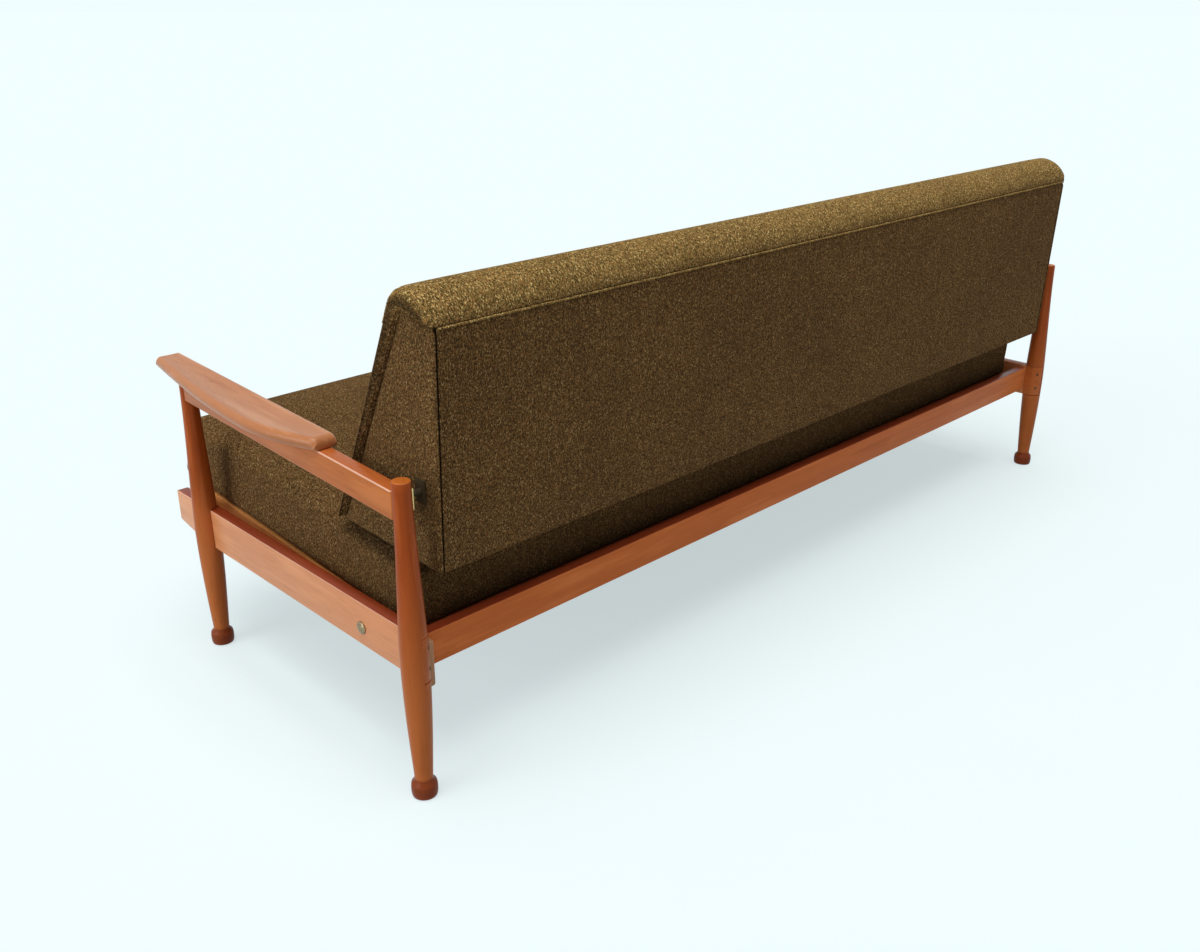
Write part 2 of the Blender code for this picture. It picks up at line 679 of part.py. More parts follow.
def make_mattress(parent, look):
    """Full-depth mattress: crowned in front of the back, flat where the back presses on it."""
    half_x = MATTRESS_LENGTH / 2
    half_y = MATTRESS_DEPTH / 2
    half_z = MATTRESS_THICKNESS / 2
    halves = (half_x, half_y, half_z)
    bm = rounded_block(halves, MATTRESS_ROUND, MATTRESS_SPANS, MATTRESS_ROUND_STEPS)
    middle_y = half_y - MATTRESS_FRONT_REACH
    back_front = PIVOT_Y + BACK_BEHIND_PIVOT - BACK_DEPTH - PAD_FOOT - FRONT_Y
    open_depth = back_front + MATTRESS_FRONT_REACH
    for vert in bm.verts:
        x, y, z = vert.co
        along = y + half_y
        if z > 0 and 0 < along < open_depth:
            lift = math.sqrt(math.sin(math.pi * along / open_depth))
            end_fall = 1 - (x / half_x) ** MATTRESS_CROWN_FALL
            vert.co.z += MATTRESS_CROWN * lift * end_fall * z / half_z
        draw = MATTRESS_DRAW_IN * (1 - (z / half_z) ** 2)
        x_share = abs(x / half_x) ** MATTRESS_DRAW_FALL
        y_share = abs(y / half_y) ** MATTRESS_DRAW_FALL
        vert.co.y -= math.copysign(draw * (1 - x_share) * y_share, y)
        vert.co.x -= math.copysign(draw * (1 - y_share) * x_share ** 2, x)
        vert.co.y += middle_y
        vert.co.z += half_z
    place("mattress", bm, look, parent)


def make_seat(looks):
    """Mattress, straps and the pale frame, all on one tilted plane. Gives back the frame's sides."""
    plane = empty("seat_plane", (0.0, FRONT_Y, SEAT_BOTTOM_Z), -SEAT_TILT)
    make_mattress(plane, looks["tweed"])
    half = SEAT_FRAME_LENGTH / 2
    front = -SEAT_FRAME_FRONT_REACH
    rear = front + SEAT_FRAME_DEPTH
    low = SEAT_FRAME_BOTTOM
    top = SEAT_FRAME_TOP
    pale = looks["pale_wood"]
    sides = {}
    for side, sign in SIDES:
        x0, x1 = sorted((sign * half, sign * (half - SEAT_FRAME_WIDTH)))
        sides[side] = place(f"seat_frame_{side}", block((x0, front, low), (x1, rear, top)), pale, plane)
    inside = half - SEAT_FRAME_WIDTH - GAP
    for name, y in (("seat_frame_front", front), ("seat_frame_rear", rear - SEAT_FRAME_WIDTH)):
        place(name, block((-inside, y, low), (inside, y + SEAT_FRAME_WIDTH, top)), pale, plane)
    pitch = 2 * inside / STRAP_COUNT
    for i in range(STRAP_COUNT):
        middle = -inside + pitch * (i + 0.5)
        strap = block(
            (middle - STRAP_WIDTH / 2, front + STRAP_SETBACK, top + GAP),
            (middle + STRAP_WIDTH / 2, rear - STRAP_SETBACK, top + GAP + STRAP_THICKNESS),
        )
        place(f"webbing_strap_{i + 1}", strap, looks["webbing"], plane)
    return sides


# Back, in its own frame with the pivot at its origin
BACK_LOW = -BACK_BELOW_PIVOT
BACK_TOP = BACK_LOW + BACK_HEIGHT
BACK_FRONT_LOW = BACK_LOW + BACK_FOOT_RISE
BACK_FRONT_Y = BACK_BEHIND_PIVOT - BACK_DEPTH


def rear_line(z):
    return BACK_BEHIND_PIVOT + (z - BACK_LOW) * math.tan(BACK_LEAN)


def front_line(z):
    return BACK_FRONT_Y + (z - BACK_FRONT_LOW) * math.tan(BACK_RAKE)


def foot_line(y):
    """Underside of the back: higher in front, like the mattress below it."""
    return BACK_LOW + BACK_FOOT_RISE * (BACK_BEHIND_PIVOT - y) / BACK_DEPTH


def sloped_outline(front_inset, rear_inset, low_lift, top):
    """Wedge outline between the front and rear lines, moved inwards by the insets."""
    front_shift = front_inset / math.cos(BACK_RAKE)
    front_y = front_line(BACK_FRONT_LOW + low_lift) + front_shift
    rear_y = rear_line(BACK_LOW + low_lift) - rear_inset
    return [
        (front_y, foot_line(front_y) + low_lift),
        (rear_y, foot_line(rear_y) + low_lift),
        (rear_line(top) - rear_inset, top),
        (front_line(top) + front_shift, top),
    ]


def make_back_frame(pivot, looks):
    """Boards, top rail and ribs inside the upholstery. Gives back the end ribs by side."""
    ply = looks["plywood"]
    half = BACK_FRAME_LENGTH / 2
    rear_inset = REAR_PANEL_THICKNESS + GAP
    rear_panel = [
        (rear_line(BACK_LOW) - REAR_PANEL_THICKNESS, BACK_LOW),
        (rear_line(BACK_LOW), BACK_LOW),
        (rear_line(BACK_TOP), BACK_TOP),
        (rear_line(BACK_TOP) - REAR_PANEL_THICKNESS, BACK_TOP),
    ]
    place("back_rear_panel", prism(rear_panel, -half, half), looks["tweed"], pivot)
    board_rear = BACK_BEHIND_PIVOT - rear_inset
    board_front_top = BACK_FRONT_LOW + BOTTOM_BOARD_THICKNESS
    bottom_board = [
        (BACK_FRONT_Y, BACK_FRONT_LOW),
        (board_rear, foot_line(board_rear)),
        (board_rear, foot_line(board_rear) + BOTTOM_BOARD_THICKNESS),
        (front_line(board_front_top), board_front_top),
    ]
    place("back_bottom_board", prism(bottom_board, -half, half), ply, pivot)
    board_top = BOTTOM_BOARD_THICKNESS + GAP
    panel_low = BACK_FRONT_LOW + board_top
    panel_shift = FRONT_PANEL_THICKNESS / math.cos(BACK_RAKE)
    front_panel = [
        (front_line(panel_low), panel_low),
        (front_line(panel_low) + panel_shift, panel_low),
        (front_line(BACK_TOP) + panel_shift, BACK_TOP),
        (front_line(BACK_TOP), BACK_TOP),
    ]
    place("back_front_panel", prism(front_panel, -half, half), ply, pivot)
    front_inset = FRONT_PANEL_THICKNESS + GAP
    front_shift = front_inset / math.cos(BACK_RAKE)
    rail_low = BACK_TOP - TOP_RAIL_THICKNESS
    top_rail = [
        (front_line(rail_low) + front_shift, rail_low),
        (rear_line(rail_low) - rear_inset, rail_low),
        (rear_line(BACK_TOP) - rear_inset, BACK_TOP),
        (front_line(BACK_TOP) + front_shift, BACK_TOP),
    ]
    place("back_top_rail", prism(top_rail, -half, half), looks["pale_wood"], pivot)
    outline = sloped_outline(front_inset, rear_inset, board_top, rail_low - GAP)
    end_ribs = {}
    for i in range(RIB_COUNT):
        x0 = mix(-half, half - RIB_THICKNESS, i / (RIB_COUNT - 1))
        rib = place(f"back_rib_{i + 1}", prism(outline, x0, x0 + RIB_THICKNESS), ply, pivot)
        if i == 0:
            end_ribs["right"] = rib
        if i == RIB_COUNT - 1:
            end_ribs["left"] = rib
    return end_ribs


def make_side_panel(side, sign, pivot, look):
    """Padded wedge panel at one end of the back, rounded at its border."""
    across, upward = SIDE_PANEL_SPANS
    bm = bmesh.new()
    grid = []
    rim_inner = {}
    for j in range(upward + 1):
        row = []
        for i in range(across + 1):
            u = i / across
            v = j / upward
            z = mix(mix(BACK_FRONT_LOW, BACK_LOW, u), BACK_TOP, v)
            y = mix(front_line(z), rear_line(z), u)
            border = i in (0, across) or j in (0, upward)
            bulge = SIDE_PANEL_CROWN * (1 - (2 * u - 1) ** 4) * (1 - (2 * v - 1) ** 4)
            x = BACK_PANEL_X + (SIDE_PANEL_EDGE if border else SIDE_PANEL_THICKNESS + bulge)
            row.append(bm.verts.new((sign * x, y, z)))
            if border:
                rim_inner[i, j] = bm.verts.new((sign * BACK_PANEL_X, y, z))
        grid.append(row)
    for j in range(upward):
        for i in range(across):
            bm.faces.new((grid[j][i], grid[j][i + 1], grid[j + 1][i + 1], grid[j + 1][i]))
    rim = [(i, 0) for i in range(across)]
    rim += [(across, j) for j in range(upward)]
    rim += [(i, upward) for i in range(across, 0, -1)]
    rim += [(0, j) for j in range(upward, 0, -1)]
    for here, there in zip(rim, rim[1:] + rim[:1]):
        bm.faces.new((grid[here[1]][here[0]], grid[there[1]][there[0]], rim_inner[there], rim_inner[here]))
    bm.faces.new([rim_inner[key] for key in rim])
    return place(f"back_{side}_side_panel", bm, look, pivot)


def bezier(a, b, c, d, share):
    keep = 1 - share
    return a * keep ** 3 + b * 3 * keep ** 2 * share + c * 3 * keep * share ** 2 + d * share ** 3


def pad_outline(x, inset):
    """Outer line of the padding at a place along the back, from its foot over the rolled top."""
    half = BACK_PAD_LENGTH / 2
    fullness = 1 - (x / half) ** PAD_FALL
    roll_fullness = 1 - (x / half) ** PAD_ROLL_FALL
    up = Vector((math.sin(BACK_RAKE), math.cos(BACK_RAKE)))
    out = Vector((-math.cos(BACK_RAKE), math.sin(BACK_RAKE)))
    foot = Vector((front_line(BACK_FRONT_LOW), BACK_FRONT_LOW))
    head = Vector((front_line(BACK_TOP), BACK_TOP)) + up * PAD_CROWN
    points = []
    for i in range(PAD_FRONT_STEPS + 1):
        share = i / PAD_FRONT_STEPS
        swell = PAD_CROWN * fullness * math.sin(math.pi * share)
        points.append(foot.lerp(head, share) + out * (mix(PAD_FOOT, PAD_HEAD, share) + swell))
    seam = Vector((rear_line(BACK_TOP), BACK_TOP + 2 * GAP))
    start = points[-1]
    over = start + up * mix(PAD_ROLL_END, PAD_ROLL, roll_fullness)
    rear = seam + Vector((0.0, mix(PAD_ROLL_REAR_END, PAD_ROLL_REAR, roll_fullness)))
    for i in range(1, PAD_ROLL_STEPS + 1):
        points.append(bezier(start, over, rear, seam, i / PAD_ROLL_STEPS))
    if inset == 0:
        return points
    moved = []
    for i, point in enumerate(points):
        before = points[max(i - 1, 0)]
        after = points[min(i + 1, len(points) - 1)]
        along = (after - before).normalized()
        moved.append(point + Vector((along.y, -along.x)) * inset)
    return moved


def make_back_pad(pivot, look):
    """Padding on the front of the back, rolled over its top to the rear seam."""
    half = BACK_PAD_LENGTH / 2
    inner = [
        (rear_line(BACK_TOP) - PAD_END_ROUND, BACK_TOP + GAP),
        (front_line(BACK_TOP) - GAP, BACK_TOP + GAP),
        (front_line(BACK_FRONT_LOW) - GAP, BACK_FRONT_LOW),
    ]
    stations = []
    for step in range(PAD_END_STEPS + 1):
        turn = math.pi / 2 * (1 - step / PAD_END_STEPS)
        stations.append((-half + PAD_END_ROUND * (1 - math.sin(turn)), PAD_END_ROUND * (1 - math.cos(turn))))
    stations += [(-half + span, 0.0) for span in PAD_END_SPANS]
    flat = half - PAD_END_ROUND
    middles = [(mix(-flat, flat, i / PAD_SPANS), 0.0) for i in range(1, PAD_SPANS)]
    rows = stations + middles + [(-x, inset) for x, inset in reversed(stations)]
    rings = []
    for x, inset in rows:
        outer = pad_outline(x, inset)
        rings.append([(x, y, z) for y, z in [tuple(p) for p in outer] + inner])
    place("back_pad", loft(rings), look, pivot)


def make_back(looks):
    pivot = empty("back_pivot", (0.0, PIVOT_Y, PIVOT_Z))
    end_ribs = make_back_frame(pivot, looks)
    make_back_pad(pivot, looks["tweed"])
    for side, sign in SIDES:
        panel = make_side_panel(side, sign, pivot, looks["tweed"])
        plate_x = BACK_PANEL_X + SIDE_PANEL_THICKNESS + SIDE_PANEL_CROWN + GAP
        low_x, high_x = sorted((sign * plate_x, sign * (plate_x + BACK_PLATE_THICKNESS)))
        half_width = BACK_PLATE_WIDTH / 2
        half_height = BACK_PLATE_HEIGHT / 2
        plate_body = block((low_x, -half_width, -half_height), (high_x, half_width, half_height))
        plate = place(f"{side}_back_plate", plate_body, looks["steel"], pivot)
        inside = BACK_FRAME_LENGTH / 2 - RIB_THICKNESS - GAP
        outside = plate_x + BACK_PLATE_THICKNESS + GAP
        for piece in (end_ribs[side], panel, plate):
            cut(piece, f"{piece.name}_pin_hole", pin_hole(sign, inside, outside, PIN_CLEARANCE))


def main():
    clear_scene()
    looks = make_finishes()
    rails = make_show_frame(looks)
    frame_sides = make_seat(looks)
    for side, sign in SIDES:
        make_rail_bolt(side, sign, rails[side], frame_sides[side], looks["steel"], looks["pale_wood"])
    make_back(looks)


main()
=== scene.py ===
# %% [markdown]
# # A sofa with a turned frame and a back that swings over
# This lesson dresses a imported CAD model: the model gives every piece its place, and each cell here
# makes one piece or one finish of the real sofa around it. All lengths are in metres. The sitter's
# left is +X, the front is -Y and up is +Z.

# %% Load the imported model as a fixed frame
import json
import math
import bmesh
import bpy
import numpy as np
from mathutils import Matrix, Vector

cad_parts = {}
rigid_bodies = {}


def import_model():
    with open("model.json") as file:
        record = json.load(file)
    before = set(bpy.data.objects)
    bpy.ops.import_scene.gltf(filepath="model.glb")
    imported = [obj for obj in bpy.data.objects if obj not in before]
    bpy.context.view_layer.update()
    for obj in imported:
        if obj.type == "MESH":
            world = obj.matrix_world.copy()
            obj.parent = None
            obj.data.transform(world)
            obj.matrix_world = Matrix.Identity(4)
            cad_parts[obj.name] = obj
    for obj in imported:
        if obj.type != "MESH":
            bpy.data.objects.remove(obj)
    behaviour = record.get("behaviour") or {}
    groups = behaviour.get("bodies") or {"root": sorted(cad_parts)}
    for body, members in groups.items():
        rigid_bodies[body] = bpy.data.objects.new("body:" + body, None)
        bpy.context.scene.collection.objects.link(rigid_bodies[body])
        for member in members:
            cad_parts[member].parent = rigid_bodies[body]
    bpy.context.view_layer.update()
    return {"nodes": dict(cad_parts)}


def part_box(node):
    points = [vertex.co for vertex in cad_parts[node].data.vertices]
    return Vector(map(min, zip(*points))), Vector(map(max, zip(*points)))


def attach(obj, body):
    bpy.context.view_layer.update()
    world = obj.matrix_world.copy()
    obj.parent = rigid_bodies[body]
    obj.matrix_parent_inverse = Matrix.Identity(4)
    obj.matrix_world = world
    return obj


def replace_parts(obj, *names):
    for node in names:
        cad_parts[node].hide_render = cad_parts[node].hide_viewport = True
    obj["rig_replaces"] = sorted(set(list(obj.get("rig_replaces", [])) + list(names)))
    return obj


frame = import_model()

# %% [markdown]
# ## Sizes that the pieces share
# A joiner marks the main lines on a story stick before cutting anything. These are the lines of this
# sofa: where the posts stand, how high the rails lie, where the back turns.

# %% The story stick
SIDES = (("left", 1), ("right", -1))
POST_X = 0.9875
FRONT_Y, REAR_Y = -0.25435, 0.39265
REAR_LEAN = 0.015
REAR_TOP = 0.533                # height of the rear posts
SEAM_GAP = 0.0003
RAIL_INNER_X = 0.9655
RAIL_LOW = {"left": 0.208, "right": 0.196}
RAIL_HEIGHT = 0.0765
ARM_LEVEL = 0.5165              # the arm rail's top at the rear post
ARM_SLOPE = math.tan(math.radians(2.3))
SEAT_TILT = math.radians(3.5)
PIVOT = Vector((0.0, 0.36965, 0.4995))


def arm_top(y):
    return ARM_LEVEL + (REAR_Y - y) * ARM_SLOPE


def mix(a, b, share):
    return a + (b - a) * share


print("pivot", tuple(PIVOT), "arm top at the front post", round(arm_top(FRONT_Y), 4))

# %% [markdown]
# ## Small helpers for working by hand
# Every operator acts on what is selected, so a piece is first picked alone. Points are then chosen by
# their place, as one would box-select them in the window.

# %% Helpers for picking and finishing
def alone_none():
    bpy.ops.object.select_all(action="DESELECT")


def alone(piece):
    alone_none()
    piece.select_set(True)
    bpy.context.view_layer.objects.active = piece
    return piece


def named(name):
    piece = bpy.context.object
    piece.name = piece.data.name = name
    return alone(piece)


def pick(kind, test):
    """Select the verts, edges or faces of the edited mesh that pass a test."""
    bm = bmesh.from_edit_mesh(bpy.context.object.data)
    bpy.ops.mesh.select_mode(type={"verts": "VERT", "edges": "EDGE", "faces": "FACE"}[kind])
    bpy.ops.mesh.select_all(action="DESELECT")
    for part in getattr(bm, kind):
        part.select = test(part)
    bm.select_flush_mode()
    bmesh.update_edit_mesh(bpy.context.object.data)
    return sum(part.select for part in getattr(bm, kind))


def move_points(piece, place):
    """Give every point of a mesh the place that a rule says."""
    for vert in piece.data.vertices:
        vert.co = place(Vector(vert.co))
    piece.data.update()


def settle(piece, angle=35):
    """Put the piece's place into its mesh, and shade it by angle."""
    alone(piece)
    bpy.ops.object.transform_apply(location=True, rotation=True, scale=True)
    bpy.ops.object.shade_smooth_by_angle(angle=math.radians(angle))
    return piece


def apply_modifier(piece, kind, **settings):
    alone(piece)
    made = piece.modifiers.new(kind.lower(), kind)
    for key, value in settings.items():
        setattr(made, key, value)
    bpy.ops.object.modifier_apply(modifier=made.name)


def soften(piece, width, segments=4, angle=40):
    apply_modifier(piece, "BEVEL", width=width, segments=segments, limit_method="ANGLE",
                   angle_limit=math.radians(angle), harden_normals=False)


def board(name, low, high):
    """A sawn board between two corners."""
    low, high = Vector(low), Vector(high)
    alone_none()
    bpy.ops.mesh.primitive_cube_add(size=1, location=(low + high) / 2, scale=high - low)
    piece = named(name)
    bpy.ops.object.transform_apply(location=True, rotation=True, scale=True)
    return piece


def cut(piece, *cutters):
    """Take cutters out of a piece, and throw them away."""
    for cutter in cutters:
        apply_modifier(piece, "BOOLEAN", operation="DIFFERENCE", solver="EXACT", object=cutter)
        bpy.data.objects.remove(cutter, do_unlink=True)


def hand_over(piece, body, slot, look, *nodes):
    """Give a piece its finish, and tell the frame what it is."""
    if look is not None:
        piece.data.materials.clear()
        piece.data.materials.append(look)
    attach(piece, body)
    if nodes:
        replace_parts(piece, *nodes)
    print(piece.name, "faces", len(piece.data.polygons))
    return piece


def finish_faces(piece, look, test):
    """Give the faces that pass a test another finish."""
    piece.data.materials.append(look)
    for face in piece.data.polygons:
        if test(face):
            face.material_index = len(piece.data.materials) - 1


def outwards(piece):
    """Turn all faces of a closed piece outwards."""
    alone(piece)
    bpy.ops.object.mode_set(mode="EDIT")
    bpy.ops.mesh.select_all(action="SELECT")
    bpy.ops.mesh.normals_make_consistent(inside=False)
    bpy.ops.object.mode_set(mode="OBJECT")


def new_piece(name, points, faces):
    mesh = bpy.data.meshes.new(name)
    mesh.from_pydata(points, [], faces)
    piece = bpy.data.objects.new(name, mesh)
    bpy.context.scene.collection.objects.link(piece)
    outwards(piece)
    return piece


def ring_faces(rings, count):
    """The faces between neighbouring rings of points."""
    faces = []
    for i in range(rings - 1):
        for j in range(count):
            k = (j + 1) % count
            faces.append((i * count + j, i * count + k, (i + 1) * count + k, (i + 1) * count + j))
    return faces


print("helpers ready")

# %% [markdown]
# ## Writing finishes as sums
# A finish in Blender is a net of nodes. Dragging hundreds of them is slow, so a small class wraps one
# socket: adding or multiplying two of them lays down the Math node that does it.

# %% A wire that can be added and multiplied
class Wire:
    def __init__(self, tree, socket=None):
        self.tree, self.socket = tree, socket

    def node(self, kind, settings=None, inputs=None, out=0):
        made = self.tree.nodes.new("ShaderNode" + kind)
        for key, value in (settings or {}).items():
            if key == "stops":
                ramp = made.color_ramp.elements
                while len(ramp) < len(value):
                    ramp.new(0.5)
                for stop, (place, colour) in zip(ramp, value):
                    stop.position, stop.color = place, colour
            else:
                setattr(made, key, value)
        for key, value in (inputs or {}).items():
            if isinstance(value, Wire):
                self.tree.links.new(value.socket, made.inputs[key])
            else:
                made.inputs[key].default_value = value
        return Wire(self.tree, made.outputs[out] if len(made.outputs) else None)

    def math(self, operation, first, second=0.0):
        return self.node("Math", {"operation": operation}, {0: first, 1: second})

    def __add__(self, other): return self.math("ADD", self, other)
    def __radd__(self, other): return self.math("ADD", other, self)
    def __sub__(self, other): return self.math("SUBTRACT", self, other)
    def __rsub__(self, other): return self.math("SUBTRACT", other, self)
    def __mul__(self, other): return self.math("MULTIPLY", self, other)
    def __rmul__(self, other): return self.math("MULTIPLY", other, self)
    def __pow__(self, other): return self.math("POWER", self, other)

    def between(self, low, high):
        """0 below low, 1 above high, smooth in between."""
        return self.node("MapRange", {"interpolation_type": "SMOOTHSTEP"},
                         {"Value": self, "From Min": low, "From Max": high})

    def sine(self):
        return self.math("SINE", self)

    def noise(self, vector, scale, detail=2.0, rough=0.5):
        return self.node("TexNoise", None, {"Vector": vector, "Scale": scale, "Detail": detail,
                                            "Roughness": rough}, "Fac")

    def place(self):
        return self.node("TexCoord", None, None, "Object")

    def split(self):
        """The three parts of a vector."""
        outlets = self.node("SeparateXYZ", None, {0: self}).socket.node.outputs
        return [Wire(self.tree, outlet) for outlet in outlets]

    def bump(self, strength, distance, height):
        return self.node("Bump", None, {"Strength": strength, "Distance": distance, "Height": height})

    def colour(self, share, first, second, blend="MIX"):
        return self.node("Mix", {"data_type": "RGBA", "blend_type": blend},
                         {0: share, 6: first, 7: second}, 2)


def rgb(red, green, blue):
    return (red, green, blue, 1.0)


def new_finish(name, **constants):
    """A new material: gives back the material, its shader's inputs and a wire to start from."""
    material = bpy.data.materials.new(name)
    material.use_nodes = True
    shader = material.node_tree.nodes["Principled BSDF"]
    for key, value in constants.items():
        shader.inputs[key.replace("_", " ").title().replace("Ior", "IOR")].default_value = value
    return material, shader, Wire(material.node_tree)


def feed(wire, shader, **values):
    for key, value in values.items():
        wire.tree.links.new(value.socket, shader.inputs[key.replace("_", " ").title()])


print("finish helpers ready")

# %% [markdown]
# ## The varnished wood
# The show wood is a warm, straight-grained timber under a satin varnish. Its grain runs along each
# board, so the pattern is a noise that is stretched along one axis: broad streaks, fine pores, and a
# slow drift of tone. One recipe serves all boards, and only the grain's axis and the tone change.

# %% Wood finishes
def wood(name, axis, dark, middle, light, shift=0.0, rough=0.34, gloss=0.30, turned=False):
    material, shader, wire = new_finish(name, specular_ior_level=gloss)
    place = wire.place()
    broad, fine = [26.0] * 3, [620.0] * 3
    broad["xyz".index(axis)], fine["xyz".index(axis)] = 1.6, 17.0
    slow = wire.noise(place, 5.0, 1.0)
    bent = wire.node("VectorMath", {"operation": "MULTIPLY_ADD"},
                     {0: place, 1: broad, 2: (shift, shift * 1.7, shift * 0.6)})
    streak = wire.noise(bent, 1.0, 5.0, 0.62)
    pores = wire.noise(wire.node("VectorMath", {"operation": "MULTIPLY"}, {0: place, 1: fine}), 1.0, 2.0)
    bands = ((streak + slow * 0.35) * 26.0).sine() * 0.5 + 0.5
    tone = (streak * 0.75 + bands * 0.13 + slow * 0.30 - 0.16).between(0.12, 0.72)
    ramp = wire.node("ValToRGB", {"stops": [(0.0, rgb(*dark)), (0.5, rgb(*middle)), (1.0, rgb(*light))]},
                     {"Fac": tone})
    pore = pores.between(0.56, 0.72)
    # Edges are painted lighter: partly wear, partly a painted highlight of the varnish.
    rim = wire.node("NewGeometry", None, None, "Pointiness").between(0.515, 0.60)
    # Painted reflection: near the floor a turned piece is painted paler, as if the white floor showed in its
    # varnish. The feet are darker.
    if turned:
        height = place.split()[2]
        low = 1.0 - height.between(0.14, 0.44)
        ramp = wire.colour(low * (0.35 + streak * 0.5), ramp, rgb(*POST_FLOOR_REFLECTION))
        ramp = wire.colour(1.0 - height.between(0.030, 0.037), ramp, rgb(*FOOT_TONE), "MULTIPLY")
    worn = wire.colour(rim * 0.35, ramp, rgb(*[min(1.0, c * 1.5 + 0.05) for c in light]))
    feed(wire, shader,
         base_color=wire.colour(pore * 0.22, worn, rgb(*[c * 0.42 for c in dark])),
         roughness=rough + pore * 0.16 - tone * 0.07,
         normal=wire.bump(0.25, 0.0002, 1.0 - pore * 0.6 + streak * 0.4))
    return material


POST_TONES = ((0.235, 0.039, 0.005), (0.350, 0.068, 0.010), (0.460, 0.108, 0.024))
# The paler colour of the painted floor reflection low on the posts.
POST_FLOOR_REFLECTION = (0.520, 0.165, 0.042)
FOOT_TONE = (0.45, 0.33, 0.38)
ARM_TONES = ((0.352, 0.113, 0.033), (0.447, 0.171, 0.061), (0.523, 0.221, 0.091))
RAIL_TONES = ((0.556, 0.198, 0.071), (0.663, 0.262, 0.102), (0.749, 0.317, 0.134))
CROSS_TONES = ((0.450, 0.110, 0.024), (0.580, 0.156, 0.039), (0.670, 0.205, 0.060))
ARM_RAIL_TONES = ((0.370, 0.095, 0.017), (0.480, 0.141, 0.029), (0.560, 0.181, 0.046))
PALE_TONES = ((0.360, 0.125, 0.022), (0.500, 0.190, 0.039), (0.580, 0.250, 0.060))
SHADED_TONES = ((0.165, 0.022, 0.005), (0.225, 0.033, 0.008), (0.280, 0.048, 0.013))
# A painted highlight for the outer upper edges of the rails.
ARRIS_HIGHLIGHT_TONES = ((0.520, 0.270, 0.175), (0.620, 0.350, 0.240), (0.700, 0.430, 0.310))
post_wood = wood("post_wood", "z", *POST_TONES, gloss=0.10, turned=True)
arm_wood = wood("arm_wood", "y", *ARM_TONES, shift=3.1)
arm_rail_wood = wood("arm_rail_wood", "y", *ARM_RAIL_TONES, shift=7.7, gloss=0.16)
rail_wood = wood("rail_wood", "y", *RAIL_TONES, shift=5.3)
rail_end_wood = wood("rail_end_wood", "y", *POST_TONES, shift=5.3, gloss=0.10, turned=True)
cross_wood = wood("cross_wood", "x", *CROSS_TONES, shift=1.9, gloss=0.04)
# Painted shade: the tops of the side and rear rails are darker, as under the back and the mattress.
rail_top_shade_wood = wood("rail_top_shade_wood", "y", *SHADED_TONES, shift=5.3, gloss=0.12)
cross_top_shade_wood = wood("cross_top_shade_wood", "x", *SHADED_TONES, shift=1.9, gloss=0.12)
arris_highlight_wood = wood("arris_highlight_wood", "y", *ARRIS_HIGHLIGHT_TONES, shift=5.3, rough=0.30, gloss=0.25)
# Painted shade: the arm rail's top faces are darker and redder than its sides.
arm_rail_top_shade_wood = wood("arm_rail_top_shade_wood", "y", (0.33, 0.072, 0.013), (0.42, 0.102, 0.020),
                         (0.50, 0.140, 0.034), shift=7.7, rough=0.28, gloss=0.16)
block_wood = wood("block_wood", "z", (0.30, 0.150, 0.066), (0.42, 0.225, 0.115), (0.50, 0.290, 0.160),
                  shift=9.1, gloss=0.10)
end_grain = wood("end_grain", "z", (0.30, 0.070, 0.010), (0.46, 0.120, 0.016), (0.58, 0.180, 0.034),
                 shift=2.2, rough=0.45, gloss=0.15)
pale_wood = wood("pale_wood", "y", *PALE_TONES, shift=4.4, rough=0.6, gloss=0.2)
# A darker, redder wood than the seat frame's sides, for its front and rear members and the ledger: partly
# their own colour, partly painted shade and red bounce light.
red_cross_wood = wood("red_cross_wood", "x", (0.20, 0.048, 0.012), (0.28, 0.075, 0.020),
                      (0.36, 0.105, 0.030), shift=6.4, rough=0.5, gloss=0.12)
plywood = wood("plywood", "x", (0.36, 0.24, 0.13), (0.50, 0.36, 0.21), (0.60, 0.45, 0.28),
               shift=8.4, rough=0.68, gloss=0.2)
print("wood finishes", len([m for m in bpy.data.materials if "wood" in m.name]))

# %% [markdown]
# ## The tweed
# The cover is a thick wool tweed: olive and brown threads, with flecks of tan, rust and near-black. Its
# ribs run up the sides and from front to rear over the top. The cloth lies on a UV map in metres, so
# a thread is a thread's width on every piece. Each rib takes its own shade, slubs thicken it here and
# there, and a plain weave of little mounds gives the bump.

# %% Tweed, webbing and thread
RIB = 0.0026
PICK = 0.0021
# The tint of the painted light on the roll and the piping.
PAINTED_LIGHT_TINT = (1.72, 1.95, 1.80)


